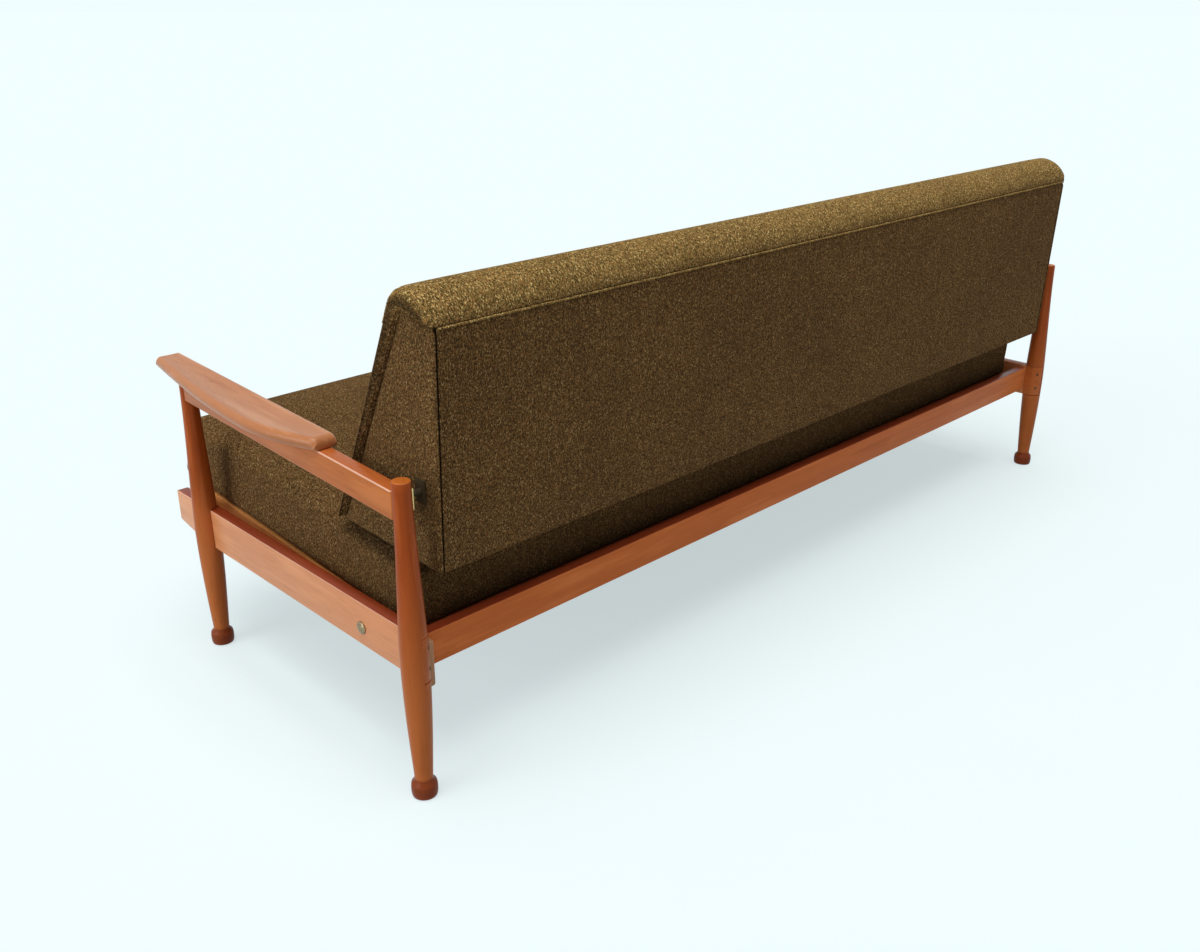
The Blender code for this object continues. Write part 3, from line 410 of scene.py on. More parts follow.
def tweed(name, tone, painted_light=None):
    """tone(x, y, z) says how light the cloth is painted at a place, mostly painted shade; the last argument,
    if given, is how much painted light brightens it.
    """
    material, shader, wire = new_finish(name, roughness=0.92, specular_ior_level=0.05)
    spots = wire.place().split()
    across, along, _ = wire.node("UVMap", {"uv_map": "weave"}, None, "UV").split()

    def spread(a, b, seed):
        return wire.node("CombineXYZ", None, {0: across * a, 1: along * b, 2: seed})

    wander = wire.noise(spread(70.0, 45.0, 0.3), 1.0, 1.0) * 1.1
    rib = (across * (math.pi / RIB) + wander).sine()
    pick_wave = (along * (math.pi / PICK) + wander * 1.3).sine()
    mound = rib * pick_wave
    weave = mound.math("ABSOLUTE", mound) ** 0.7
    slub = wire.noise(spread(430.0, 120.0, 1.7), 1.0, 2.0)
    streak = wire.noise(spread(360.0, 11.0, 3.3), 1.0, 1.0)
    thread = wire.noise(spread(520.0, 270.0, 9.2), 1.0, 2.0, 0.6)
    brown = wire.colour(thread.between(0.40, 0.60), rgb(0.044, 0.026, 0.0085), rgb(0.188, 0.099, 0.034))
    rust = wire.noise(spread(430.0, 300.0, 4.1), 1.0, 1.0).between(0.58, 0.68)
    tan = wire.noise(spread(490.0, 350.0, 6.6), 1.0, 1.0).between(0.58, 0.70)
    black = wire.noise(spread(470.0, 310.0, 12.4), 1.0, 1.0).between(0.58, 0.70)
    dyed = wire.colour(rust * 0.6, brown, rgb(0.230, 0.083, 0.024))
    dyed = wire.colour(tan * 0.85, dyed, rgb(0.430, 0.280, 0.118))
    dyed = wire.colour(black * 0.65, dyed, rgb(0.016, 0.011, 0.005))
    drift = wire.noise(spread(7.0, 5.0, 2.5), 1.0, 2.0).between(0.3, 0.7)
    shade = (0.34 + weave * 0.36 + slub * 0.22 + streak * 0.50 + drift * 0.14) * tone(*spots)
    grey = wire.node("CombineColor", None, {0: shade, 1: shade, 2: shade})
    cloth = wire.colour(1.0, dyed, grey, "MULTIPLY")
    # Painted light: the cloth is brightened and tinted where the light falls strongest.
    if painted_light:
        cloth = wire.colour(painted_light(*spots), cloth, rgb(*PAINTED_LIGHT_TINT), "MULTIPLY")
    feed(wire, shader,
         base_color=cloth,
         roughness=0.84 + slub * 0.14,
         normal=wire.bump(0.55, 0.0011, weave * 0.7 + slub * 0.6))
    return material


def mattress_painted_shade(x, y, z):
    """Painted shade: dimmer towards the rear and on the top, and dark in the crease where the back lies on
    it.
    """
    level = z + y * math.tan(SEAT_TILT)
    crease = y.between(0.11, 0.15) * level.between(0.350, 0.372)
    dim_rear = 1.0 - y.between(0.20, 0.36) * 0.34
    dim_top = 1.0 - level.between(0.375, 0.395) * 0.12
    return dim_rear * (1.0 - crease * 0.55) * dim_top


def pad_border(x):
    return x.math("ABSOLUTE", x).between(0.9455, 0.9490)


def pad_painted_shade(x, y, z):
    """Painted shade: dimmer on the border at the ends, dark in the groove where the roll is sewn down behind.
    """
    sewn = y.between(0.395, 0.402) * (1.0 - z.between(0.7465, 0.7500))
    return (1.0 - pad_border(x) * 0.52) * (1.0 - sewn * 0.75)


# Painted light on the top of the roll, less of it on the border at the ends.
def roll_light(x, y, z):
    return z.between(0.735, 0.765) * (1.0 - pad_border(x) * 0.7)


def panel_groove_shade(x, y, z):
    """Painted shade in the groove where the end covers meet the rear cover."""
    out = x.math("ABSOLUTE", x)
    return 1.0 - out.between(0.9310, 0.9319) * (1.0 - out.between(0.9341, 0.9350)) * 0.86


mattress_cloth = tweed("mattress_cloth", mattress_painted_shade)
pad_cloth = tweed("pad_cloth", pad_painted_shade, roll_light)
panel_cloth = tweed("panel_cloth", panel_groove_shade)
# The piping is made a little lighter, and painted light brightens it near the top, as on the roll.
piping_cloth = tweed("piping_cloth", lambda x, y, z: 1.15, lambda x, y, z: z.between(0.71, 0.74))


def webbing_finish():
    material, shader, wire = new_finish("webbing_jute", roughness=0.85, specular_ior_level=0.2)
    place = wire.place()
    x, y, _ = place.split()
    weave = ((x * 1400.0).sine() * (y * 900.0).sine()) * 0.5 + 0.5
    stripe = (x * 190.0).sine().between(0.55, 0.8)
    fuzz = wire.noise(place, 900.0, 2.0)
    base = wire.colour(weave, rgb(0.045, 0.030, 0.017), rgb(0.095, 0.066, 0.036))
    feed(wire, shader, base_color=wire.colour(stripe * 0.5, base, rgb(0.17, 0.12, 0.06)),
         roughness=0.75 + fuzz * 0.2,
         normal=wire.bump(0.5, 0.0006, weave))
    return material


webbing = webbing_finish()
print("cloth finishes ready")

# %% [markdown]
# ## The metal
# The pivot plates are brass, gone dull; the bolts are domed and plated; the small screws and pins are
# dark steel. Metal looks real through its scratches, so a fine noise drives the roughness.

# %% Metal finishes
def metal(name, bright, dull, rough):
    material, shader, wire = new_finish(name, metallic=1.0)
    place = wire.place()
    spots = wire.noise(place, 260.0, 4.0, 0.65)
    scratch = wire.noise(wire.node("VectorMath", {"operation": "MULTIPLY"},
                                   {0: place, 1: (300.0, 2200.0, 900.0)}), 1.0, 2.0)
    feed(wire, shader,
         base_color=wire.colour(spots.between(0.42, 0.70), rgb(*bright), rgb(*dull)),
         roughness=rough + spots * 0.18 + scratch * 0.10,
         normal=wire.bump(0.12, 0.0001, scratch))
    return material


brass = metal("aged_brass", (0.72, 0.56, 0.26), (0.42, 0.30, 0.12), 0.24)
plated = metal("plated_steel", (0.34, 0.26, 0.16), (0.16, 0.115, 0.065), 0.22)
dark_steel = metal("dark_steel", (0.085, 0.064, 0.040), (0.040, 0.029, 0.018), 0.50)


def shade_coloured(name):
    """Dark brown like the shaded cloth beside the back plate: the plate is coloured as painted shade, mottled
    by a noise.
    """
    material, shader, wire = new_finish(name, specular_ior_level=0.0)
    place = wire.place()
    mottle = wire.noise(place, 180.0, 4.0, 0.6).between(0.52, 0.75)
    feed(wire, shader, base_color=wire.colour(mottle, rgb(0.060, 0.043, 0.022), rgb(0.085, 0.062, 0.034)),
         roughness=0.55 + mottle * 0.2)
    return material


plate_painted_shade = shade_coloured("plate_painted_shade")
print("metal finishes ready")

# %% [markdown]
# ## The four posts
# Each post is one turning: a bun foot, a thin ankle, a long swell where the rail passes, and a taper
# to the top. On a lathe the outline is cut while the wood spins. Here a filled circle is drawn up
# from the floor in rings, and every ring is scaled to its radius. The rear posts lean a little, and
# their flat tops show end grain.

# %% Turn the posts
POST_FACETS = 56
ANKLE_Z, ANKLE = 0.034, 0.0145  # height and radius of the thin ankle
SWELL_Z, SWELL = 0.245, 0.0225  # the same where the post is thickest
TOP_RADIUS = 0.0142


def turned(name, facets, rings, centre, axis, rotation=(0.0, 0.0, 0.0)):
    """Draw a filled circle through rings of (step, radius). centre(step) is the middle of a ring."""
    alone_none()
    bpy.ops.mesh.primitive_circle_add(vertices=facets, radius=rings[0][1], fill_type="NGON",
                                      location=centre(rings[0][0]), rotation=rotation)
    piece = named(name)
    bpy.ops.object.transform_apply(location=True, rotation=True, scale=True)
    bpy.ops.object.mode_set(mode="EDIT")
    bpy.ops.mesh.select_all(action="SELECT")
    for (start, inner), (end, outer) in zip(rings, rings[1:]):
        way = tuple(b - a for a, b in zip(centre(start), centre(end)))
        bpy.ops.mesh.extrude_region_move(TRANSFORM_OT_translate={"value": way})
        grow = tuple(1.0 if k == axis else outer / inner for k in range(3))
        bpy.ops.transform.resize(value=grow, center_override=centre(end))
    bpy.ops.object.mode_set(mode="OBJECT")
    outwards(piece)
    return piece


def post_radius(height, top):
    if height < SWELL_Z:
        return mix(ANKLE, SWELL, math.sin((height - ANKLE_Z) / (SWELL_Z - ANKLE_Z) * math.pi / 2))
    return mix(SWELL, TOP_RADIUS, math.sin((height - SWELL_Z) / (top - SWELL_Z) * math.pi / 2) ** 1.5)


def post_rings(top):
    rings = [(0.0, 0.0150), (0.0008, 0.0160)]
    for angle in (-60, -40, -20, 0, 20, 40, 58):
        turn = math.radians(angle)
        rings.append((0.0135 * (1 + math.sin(turn)), mix(0.0160, 0.0212, math.sqrt(math.cos(turn)))))
    rings += [(0.0285, 0.0158), (0.0315, 0.0147)]
    crown = top - 0.0022
    heights = [mix(ANKLE_Z, SWELL_Z, i / 14) for i in range(14)]
    heights += [mix(SWELL_Z, crown, i / 18) for i in range(19)]
    rings += [(height, post_radius(height, top)) for height in heights]
    rim = rings[-1][1]
    return rings + [(top - 0.0010, rim - 0.0005), (top - 0.0003, rim - 0.0012), (top, rim - 0.0024)]


def housing(side, sign, y):
    """Where the side rail passes through the inner half of a post."""
    low, line = RAIL_LOW[side], 0.0012
    x0, x1 = sorted((sign * (RAIL_INNER_X - 0.03), sign * (POST_X + SEAM_GAP)))
    return board("housing", (x0, y - 0.05, low - line), (x1, y + 0.05, low + RAIL_HEIGHT + line))


for side, sign in SIDES:
    front_top = arm_top(FRONT_Y + TOP_RADIUS)
    for name, y, top, lean in ((f"{side}_front_post", FRONT_Y, front_top, 0.0),
                               (f"{side}_rear_post", REAR_Y, REAR_TOP, REAR_LEAN)):
        post = turned(name + "_turned", POST_FACETS, post_rings(top),
                      lambda z: (sign * POST_X, y - lean * z, z), 2)
        cut(post, housing(side, sign, y))
        settle(post)
        hand_over(post, "frame", "show_wood", post_wood, name)
        if lean:
            finish_faces(post, end_grain, lambda f: f.center.z > top - 0.0012)

# %% [markdown]
# ## The side rails
# A side rail is one board, housed in both posts. It runs past the front post to a tip whose underside
# rises, and its rear end is rounded to sit flush with the post. A board is cut to size, split at the
# front post so that its tip can rise, and the rear corner is planed round before the edges are eased.

# %% Side rails
EDGE_ROUND = 0.003
RAIL_END = 0.0212               # how far the rail runs past the rear post's centre
END_WOOD_Y = 0.3744             # from here the rail has the post's colour
TIP_Y, TIP_RISE = FRONT_Y - 0.110, 0.017


def side_rail(side, sign):
    low = RAIL_LOW[side]
    middle = low + RAIL_HEIGHT / 2
    rear = REAR_Y - REAR_LEAN * middle + RAIL_END
    inner = sign * RAIL_INNER_X
    x0, x1 = sorted((inner, sign * POST_X))
    rail = board(f"{side}_side_rail_board", (x0, TIP_Y, low), (x1, rear, low + RAIL_HEIGHT))
    bpy.ops.object.mode_set(mode="EDIT")
    for split_y in (FRONT_Y - SWELL, END_WOOD_Y):
        bpy.ops.mesh.select_all(action="SELECT")
        bpy.ops.mesh.bisect(plane_co=(0.0, split_y, 0.0), plane_no=(0.0, 1.0, 0.0))
    pick("verts", lambda v: v.co.y < TIP_Y + 1e-5 and v.co.z < low + 1e-5)
    bpy.ops.transform.translate(value=(0.0, 0.0, TIP_RISE))
    pick("edges", lambda e: all(v.co.y > rear - 1e-5 and abs(v.co.x - inner) < 1e-5 for v in e.verts))
    bpy.ops.mesh.bevel(offset=0.0205, segments=10, affect="EDGES", offset_type="OFFSET")
    bpy.ops.object.mode_set(mode="OBJECT")
    soften(rail, EDGE_ROUND)
    return settle(rail)


def on_arris(face, sign):
    """Faces on the outer upper edge, where a highlight is painted."""
    return 0.55 < face.normal.z < 0.93 and face.normal.x * sign > 0.3


for side, sign in SIDES:
    rail = hand_over(side_rail(side, sign), "frame", "show_wood", rail_wood, f"{side}_side_rail")
    # Painted shade on the rail's top face, and a painted highlight on its outer upper edge.
    finish_faces(rail, rail_top_shade_wood, lambda f: f.normal.z > 0.93)
    finish_faces(rail, arris_highlight_wood, lambda f: on_arris(f, sign))
    finish_faces(rail, rail_end_wood, lambda f: f.center.y > END_WOOD_Y)

# %% [markdown]
# ## Rear rail, front rail and corner block
# Plain boards between the sides, with eased edges. The small block in the left rear corner hangs below
# the rail, and its edges are worn much rounder.

# %% Cross rails and corner block
low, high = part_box("rear_rail")
rear_rail = board("rear_rail_board", low, high)
soften(rear_rail, EDGE_ROUND)
hand_over(settle(rear_rail), "frame", "show_wood", cross_wood, "rear_rail")
# Painted shade on the rear rail's top faces.
finish_faces(rear_rail, cross_top_shade_wood, lambda f: f.normal.z > 0.8)
low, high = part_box("front_rail")
front_rail = board("front_rail_board", low, high)


def follow_seat(p):
    """Slope the rail's top like the seat that lies on it."""
    fall = (p.y - low.y) * math.tan(SEAT_TILT) if p.z > high.z - 1e-4 else 0.0
    return p - Vector((0.0, 0.0, fall))


move_points(front_rail, follow_seat)
soften(front_rail, 0.0025)
hand_over(settle(front_rail), "frame", "show_wood", cross_wood, "front_rail")
low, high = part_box("left_corner_block")
corner_block = board("left_corner_block_worn", low, high)
bpy.ops.object.mode_set(mode="EDIT")
pick("edges", lambda e: all(v.co.z < low.z + 1e-5 for v in e.verts))
bpy.ops.mesh.bevel(offset=0.0055, segments=5, affect="EDGES", offset_type="OFFSET")
bpy.ops.object.mode_set(mode="OBJECT")
soften(corner_block, 0.0018, 3)
hand_over(settle(corner_block), "frame", "show_wood", block_wood, "left_corner_block")

# %% [markdown]
# ## Arm rails and armrests
# The arm rail is a straight board that rises gently to the front. On it lies the armrest, a paddle that
# widens slowly, is broadest near its rear end, and has a full rounded outer edge and a shallow hollow
# where the arm lies. The paddle is skinned over sections, one for each step along it: each section has
# its own width, rounded upper edges and hollow, and near both ends it is lower and lifted off the rail.

# %% Arm rails
def arm_rail(side, sign):
    front, rear = FRONT_Y + 0.0085, REAR_Y - REAR_LEAN * ARM_LEVEL - 0.0085
    x0, x1 = sorted((sign * (POST_X - 0.013), sign * (POST_X + 0.013)))
    rail = board(f"{side}_arm_rail_board", (x0, front, -0.046), (x1, rear, 0.0))
    move_points(rail, lambda p: p + Vector((0.0, 0.0, arm_top(p.y))))
    soften(rail, 0.0032)
    return settle(rail)


for side, sign in SIDES:
    rail = hand_over(arm_rail(side, sign), "frame", "show_wood", arm_rail_wood, f"{side}_arm_rail")
    # Painted shade on the arm rail's top face, and a painted highlight on its outer upper edge.
    finish_faces(rail, arm_rail_top_shade_wood, lambda f: f.normal.z > 0.93)
    finish_faces(rail, arris_highlight_wood, lambda f: on_arris(f, sign))

# %% A skin over rings
def from_rings(name, rings):
    """A closed skin over rings of points."""
    count = len(rings[0])
    points = [tuple(p) for ring in rings for p in ring]
    ends = [tuple(range(count)), tuple(range((len(rings) - 1) * count, len(rings) * count))]
    return new_piece(name, points, ends + ring_faces(len(rings), count))


# %% Armrests
PADDLE_FRONT, PADDLE_LENGTH = FRONT_Y - 0.0615, 0.507
PADDLE_INNER, PADDLE_THICK = 0.966, 0.0195
PADDLE_ROUNDS = {"outer": 0.0105, "inner": 0.0060, "front": 0.0060, "rear": 0.0120}
PADDLE_UNDERCUT = 0.0050


def paddle_width(share):
    if share < 0.70:
        return mix(0.046, 0.080, math.sin(share / 0.70 * math.pi / 2))
    return mix(0.040, 0.080, math.cos((share - 0.70) / 0.30 * math.pi / 2))


def drop(distance, radius):
    """How far a rounded edge has fallen at a distance from the end."""
    if distance >= radius:
        return 0.0
    return radius - math.sqrt(max(0.0, radius ** 2 - (radius - distance) ** 2))


def paddle_ring(y, sign):
    share = (y - PADDLE_FRONT) / PADDLE_LENGTH
    width = paddle_width(share)
    from_front, from_rear = y - PADDLE_FRONT, PADDLE_FRONT + PADDLE_LENGTH - y
    fall = drop(from_front, PADDLE_ROUNDS["front"]) + drop(from_rear, PADDLE_ROUNDS["rear"])
    lift = drop(from_front, 0.0025) + drop(from_rear, 0.0040)
    hollow = 0.0032 * max(0.0, math.sin(math.pi * min(1.0, share * 1.02))) ** 0.6
    top = PADDLE_THICK - fall
    ring = [(PADDLE_UNDERCUT * 0.3, lift),
            (width - PADDLE_UNDERCUT, lift),
            (width - PADDLE_UNDERCUT * 0.45, lift + 0.0022)]
    outer, inner = (min(PADDLE_ROUNDS[edge], top - lift - 0.003) for edge in ("outer", "inner"))
    for i in range(9):
        turn = math.pi / 2 * i / 8
        ring.append((width - outer + outer * math.cos(turn), top - outer + outer * math.sin(turn)))
    for i in range(1, 10):
        column = i / 10
        x = mix(width - outer, inner, column)
        ring.append((x, top - hollow * (1 - (2 * column - 1) ** 2)))
    for i in range(7):
        turn = math.pi / 2 * (1 + i / 6)
        ring.append((inner + inner * math.cos(turn), top - inner + inner * math.sin(turn)))
    return [(sign * (PADDLE_INNER + x), y, arm_top(y) + SEAM_GAP + z) for x, z in ring]


def armrest(side, sign):
    ends = [0.0, 0.0006, 0.0015, 0.003, 0.005, 0.0075, 0.010, 0.013]
    steps = ends + [mix(0.018, PADDLE_LENGTH - 0.018, i / 44) for i in range(45)]
    steps += [PADDLE_LENGTH - e for e in reversed(ends)]
    rings = [paddle_ring(PADDLE_FRONT + d, sign) for d in steps]
    return settle(from_rings(f"{side}_armrest_paddle", rings), 42)


for side, sign in SIDES:
    hand_over(armrest(side, sign), "frame", "show_wood", arm_wood, f"{side}_armrest")

# %% [markdown]
# ## Bolts
# One domed bolt head shows on each side rail. It is turned like a post: rings that shrink to a dome,
# with a thin shank behind it.

# %% Rail bolts
def rail_bolt(side, sign):
    low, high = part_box(f"{side}_rail_bolt")
    y, z = (low.y + high.y) / 2, (low.z + high.z) / 2
    inner = low.x if sign > 0 else -high.x
    seat = POST_X + SEAM_GAP / 2
    steps = [(inner, 0.0040), (seat, 0.0040), (seat + 0.0001, 0.0108), (seat + 0.0008, 0.0110)]
    for angle in (12, 26, 40, 54, 68, 82):
        turn = math.radians(angle)
        steps.append((seat + 0.0008 + 0.0037 * math.sin(turn), 0.0110 * math.cos(turn)))
    bolt = turned(f"{side}_rail_bolt_domed", 36, steps, lambda x: (sign * x, y, z), 0, (0, math.pi / 2, 0))
    return settle(bolt, 50)


for side, sign in SIDES:
    hand_over(rail_bolt(side, sign), "frame", "steel", plated, f"{side}_rail_bolt")

# %% [markdown]
# ## Screws and plates
# All eight screws are alike, so one is turned, slotted with a saw cut, and copied to its places: two in
# each rear post where the side rail is housed, two in each pivot plate. The plate is a small brass
# flat with eased corners, let into the inner side of the post.

# %% One slotted screw, then its copies
def slotted_screw():
    """A screw that stands on its point below the origin, with the head's top at height 0."""
    steps = [(-0.020, 0.0006), (-0.018, 0.0017), (-0.0017, 0.0017), (-0.0016, 0.0030), (-0.0005, 0.0031),
             (-0.0001, 0.0027), (0.0, 0.0018)]
    made = turned("slotted_screw", 28, steps, lambda z: (0.0, 0.0, z), 2)
    cut(made, board("saw_cut", (-0.00045, -0.005, -0.0010), (0.00045, 0.005, 0.002)))
    return made


def copy_screw(master, name, head, way, turn):
    """A copy with its head at a place, driven along a way, its slot turned as it happened to stop."""
    alone(master)
    bpy.ops.object.duplicate(linked=False)
    screw = named(name)
    screw.matrix_world = Matrix.Translation(head) @ (-way).to_track_quat("Z", "Y").to_matrix().to_4x4() \
        @ Matrix.Rotation(math.radians(turn), 4, "Z")
    return settle(screw, 30)


screw_master = slotted_screw()
PLATE_X = (0.9690, 0.9742)
HEAD_OUT = 0.0226               # from the post's axis to the top of a housing screw's head
for side, sign in SIDES:
    middle = RAIL_LOW[side] + RAIL_HEIGHT / 2
    way = Vector((sign, -1.0, 0.0)).normalized()
    for i, step in enumerate((-0.018, 0.018), start=1):
        axis = Vector((sign * POST_X, REAR_Y - REAR_LEAN * middle, middle + step))
        head = axis - way * HEAD_OUT
        screw = copy_screw(screw_master, f"{side}_housing_screw_slotted_{i}", head, way, 20 + 55 * i)
        hand_over(screw, "frame", "steel", dark_steel, f"{side}_housing_screw_{i}")
    for i, step in enumerate((-0.0115, 0.0115), start=1):
        head = Vector((sign * (PLATE_X[0] - 0.0003), PIVOT.y + 0.0095, PIVOT.z + step))
        into_post = Vector((sign, 0.0, 0.0))
        screw = copy_screw(screw_master, f"{side}_plate_screw_slotted_{i}", head, into_post, 70 - 40 * i)
        hand_over(screw, "frame", "steel", dark_steel, f"{side}_plate_screw_{i}")
    x0, x1 = sorted(sign * x for x in PLATE_X)
    plate = board(f"{side}_post_plate_eased",
                  (x0, PIVOT.y - 0.015, PIVOT.z - 0.017), (x1, PIVOT.y + 0.0180, PIVOT.z + 0.017))
    soften(plate, 0.0009, 3)
    hand_over(settle(plate), "frame", "brass", brass, f"{side}_post_plate")
bpy.data.objects.remove(screw_master, do_unlink=True)

# %% [markdown]
# ## Soft pieces: how a cover swells
# A cover is sewn a little smaller than its filling, so the filling presses it out. Cloth simulation
# does just that: pressure from inside, no gravity, and the points that rest on wood held still. Only
# the outward part of each point's way is kept, and it is capped, because the real filling is firm.
# Afterwards the mesh is smoothed once, and the weave is laid on it in metres.

# %% Helpers for padded pieces
def points_of(piece):
    flat = np.empty(len(piece.data.vertices) * 3)
    piece.data.vertices.foreach_get("co", flat)
    return flat.reshape(-1, 3)


def set_points(piece, points):
    piece.data.vertices.foreach_set("co", points.astype(np.float32).ravel())
    piece.data.update()


def normals_of(piece):
    flat = np.empty(len(piece.data.vertices) * 3)
    piece.data.vertex_normals.foreach_get("vector", flat)
    return flat.reshape(-1, 3)


def swell(piece, held, cap, pressure=4.0):
    """Press the cover out from inside. held is 1 where a point stays, cap is the most that it moves."""
    start, normals = points_of(piece), normals_of(piece)
    group = piece.vertex_groups.new(name="held")
    for weight in np.unique(np.round(held, 2)):
        if weight > 0:
            group.add(np.flatnonzero(np.round(held, 2) == weight).tolist(), float(weight), "REPLACE")
    alone(piece)
    cloth = piece.modifiers.new("swell", "CLOTH")
    cloth.settings.use_pressure = True
    cloth.settings.uniform_pressure_force = pressure
    cloth.settings.effector_weights.gravity = 0.0
    cloth.settings.vertex_group_mass = "held"
    cloth.settings.quality = 4
    for step in range(1, 21):
        bpy.context.scene.frame_set(step)
    bpy.ops.object.modifier_apply(modifier="swell")
    bpy.context.scene.frame_set(1)
    outward = np.maximum(((points_of(piece) - start) * normals).sum(1), 0.0)
    push = cap * (1 - np.exp(-outward / cap))
    set_points(piece, start + normals * push[:, None])
    piece.vertex_groups.clear()
    print(piece.name, "outwards", [round(float(np.percentile(push, p)), 4) for p in (5, 50, 95)])


def lay_weave(piece):
    """A UV map in metres: ribs run upwards on upright faces, and from front to rear on top."""
    mesh = piece.data
    layer = mesh.uv_layers.new(name="weave")
    points = points_of(piece)
    corner = np.empty(len(mesh.loops), np.int32)
    mesh.loops.foreach_get("vertex_index", corner)
    sizes = np.empty(len(mesh.polygons), np.int32)
    mesh.polygons.foreach_get("loop_total", sizes)
    normals = np.empty(len(mesh.polygons) * 3)
    mesh.polygons.foreach_get("normal", normals)
    axis = np.repeat(np.abs(normals.reshape(-1, 3)).argmax(1), sizes)
    p = points[corner]
    u = np.where(axis == 0, p[:, 1], p[:, 0])
    v = np.where(axis == 2, p[:, 1], p[:, 2])
    layer.data.foreach_set("uv", np.stack([u, v], 1).astype(np.float32).ravel())


def refine(piece):
    """Split every face of a cover once, and smooth it."""
    apply_modifier(piece, "SUBSURF", levels=1, render_levels=1)


def upholster(piece, body, cloth, fill, *nodes):
    alone(piece)
    bpy.ops.object.shade_smooth()
    lay_weave(piece)
    hand_over(piece, body, "tweed", cloth, *nodes)


print("padding helpers ready")

# %% [markdown]
# ## The mattress
# One full-depth foam mattress on a tilted frame. It is a block with thick rounded edges, crowned in
# front of the back and flat where the back presses on it. A bevelled cube gives the block, and a voxel
# remesh spreads points evenly over it. Then the upright and the lower edges are squared up, as the
# seams hold them, and the crown and the drawn-in sides are formed.

# %% Mattress
SEAT_ORIGIN = Vector((0.0, FRONT_Y, 0.283))
HALF = Vector((0.9435, 0.3735, 0.060))
CROWN, TOP_ROUND, LOW_ROUND = 0.0135, 0.036, 0.009
REACH = 0.162                   # how far the mattress runs past the front posts
BACK_FOOT = PIVOT.y + 0.0315 - 0.250 - 0.014   # front of the back's padding at its foot
OPEN_DEPTH = REACH + (BACK_FOOT - FRONT_Y)     # how much of the mattress lies before the back
SIDE_DRAW = 0.006               # how far the middle of a side is drawn in
UPRIGHT_EDGE, LOWER_EDGE = (0.050, 3.5), (0.030, 5.0)   # reach and squareness


def seat_to_room(points):
    c, s = math.cos(-SEAT_TILT), math.sin(-SEAT_TILT)
    x, y, z = points.T
    return np.stack([x, y * c - z * s + SEAT_ORIGIN.y, y * s + z * c + SEAT_ORIGIN.z], 1)


def square_up(a, b, half_a, half_b, reach, power):
    """Push the points on a soft edge out to a tighter one. a and b run from the middle to the faces."""
    u, w = (np.clip((v - half + reach) / reach, 0, 1) for v, half in ((a, half_a), (b, half_b)))
    both = (u > 0) & (w > 0)
    size = np.where(both, np.hypot(u, w) / np.maximum(u ** power + w ** power, 1e-9) ** (1 / power), 1.0)
    return [np.where(both, half - reach + reach * np.minimum(v * size, 1.0), old)
            for v, half, old in ((u, half_a, a), (w, half_b, b))]


def form_mattress(points):
    """Crown, draw-in and place of the mattress, from a plain rounded block round the origin."""
    x, y, z = points.T
    far_x, far_y = square_up(np.abs(x), np.abs(y), HALF.x, HALF.y, *UPRIGHT_EDGE)
    far_x, low = square_up(far_x, -z, HALF.x, HALF.z, *LOWER_EDGE)
    far_y, low = square_up(far_y, low, HALF.y, HALF.z, *LOWER_EDGE)
    x, y, z = np.sign(x) * far_x, np.sign(y) * far_y, -low
    along = y + HALF.y
    lift = np.sqrt(np.clip(np.sin(np.pi * np.clip(along / OPEN_DEPTH, 0, 1)), 0, 1))
    ends = 1 - np.abs(x / HALF.x) ** 8
    rise = np.where((z > 0) & (along > 0) & (along < OPEN_DEPTH), CROWN * lift * ends * z / HALF.z, 0.0)
    draw = SIDE_DRAW * (1 - (z / HALF.z) ** 2)
    x_share, y_share = np.abs(x / HALF.x) ** 4, np.abs(y / HALF.y) ** 4
    new_y = y - np.sign(y) * draw * (1 - x_share) * y_share
    new_x = x - np.sign(x) * draw * (1 - y_share) * x_share ** 2
    return np.stack([new_x, new_y + HALF.y - REACH, z + rise + HALF.z], 1)


mattress = board("mattress_cover", -HALF, HALF)
bpy.ops.object.mode_set(mode="EDIT")
pick("edges", lambda e: any(v.co.z > 0 for v in e.verts))
bpy.ops.mesh.bevel(offset=TOP_ROUND, segments=6, affect="EDGES", offset_type="OFFSET")
pick("edges", lambda e: all(v.co.z < 1e-5 - HALF.z for v in e.verts))
bpy.ops.mesh.bevel(offset=LOW_ROUND, segments=3, affect="EDGES", offset_type="OFFSET")
bpy.ops.object.mode_set(mode="OBJECT")
apply_modifier(mattress, "REMESH", mode="VOXEL", voxel_size=0.0125, use_smooth_shade=True)
apply_modifier(mattress, "SMOOTH", factor=0.5, iterations=2)
block_points = points_of(mattress)
set_points(mattress, seat_to_room(form_mattress(block_points)))
rear_part = np.clip((block_points[:, 1] + HALF.y - OPEN_DEPTH + 0.06) / 0.06, 0, 1)
under = np.clip((-block_points[:, 2] - 0.040) / 0.015, 0, 1)
swell(mattress, np.clip(rear_part + under, 0, 1), 0.005)
refine(mattress)
upholster(mattress, "frame", mattress_cloth, 0.8, "mattress")

# %% [markdown]
# ## The back's padding
# The back is a wedge. Padding covers its raked front and rolls over the top to a seam at the rear. The
# outline of the real padding changes along the back: full in the middle, drawn in at the ends. So it
# is skinned over rings, one for each place along the back, and pressed out like the mattress, with the
# side that lies on the boards held still.

# %% Back padding
BACK_LOW, BACK_TOP = -0.129, 0.2455
FOOT_Z, FRONT_FOOT_Y = -0.1175, -0.2185
RAKE, LEAN = math.radians(26.6), math.tan(math.radians(1.6))
PAD_HALF, BOARD_HALF = 0.950, 0.933
FRONT_STEPS, ROLL_STEPS = 24, 30


def rear_line(z):
    return 0.0315 + (z - BACK_LOW) * LEAN


def front_line(z):
    return FRONT_FOOT_Y + (z - FOOT_Z) * math.tan(RAKE)


def bezier(a, b, c, d, t):
    k = 1 - t
    return a * k ** 3 + b * 3 * k * k * t + c * 3 * k * t * t + d * t ** 3


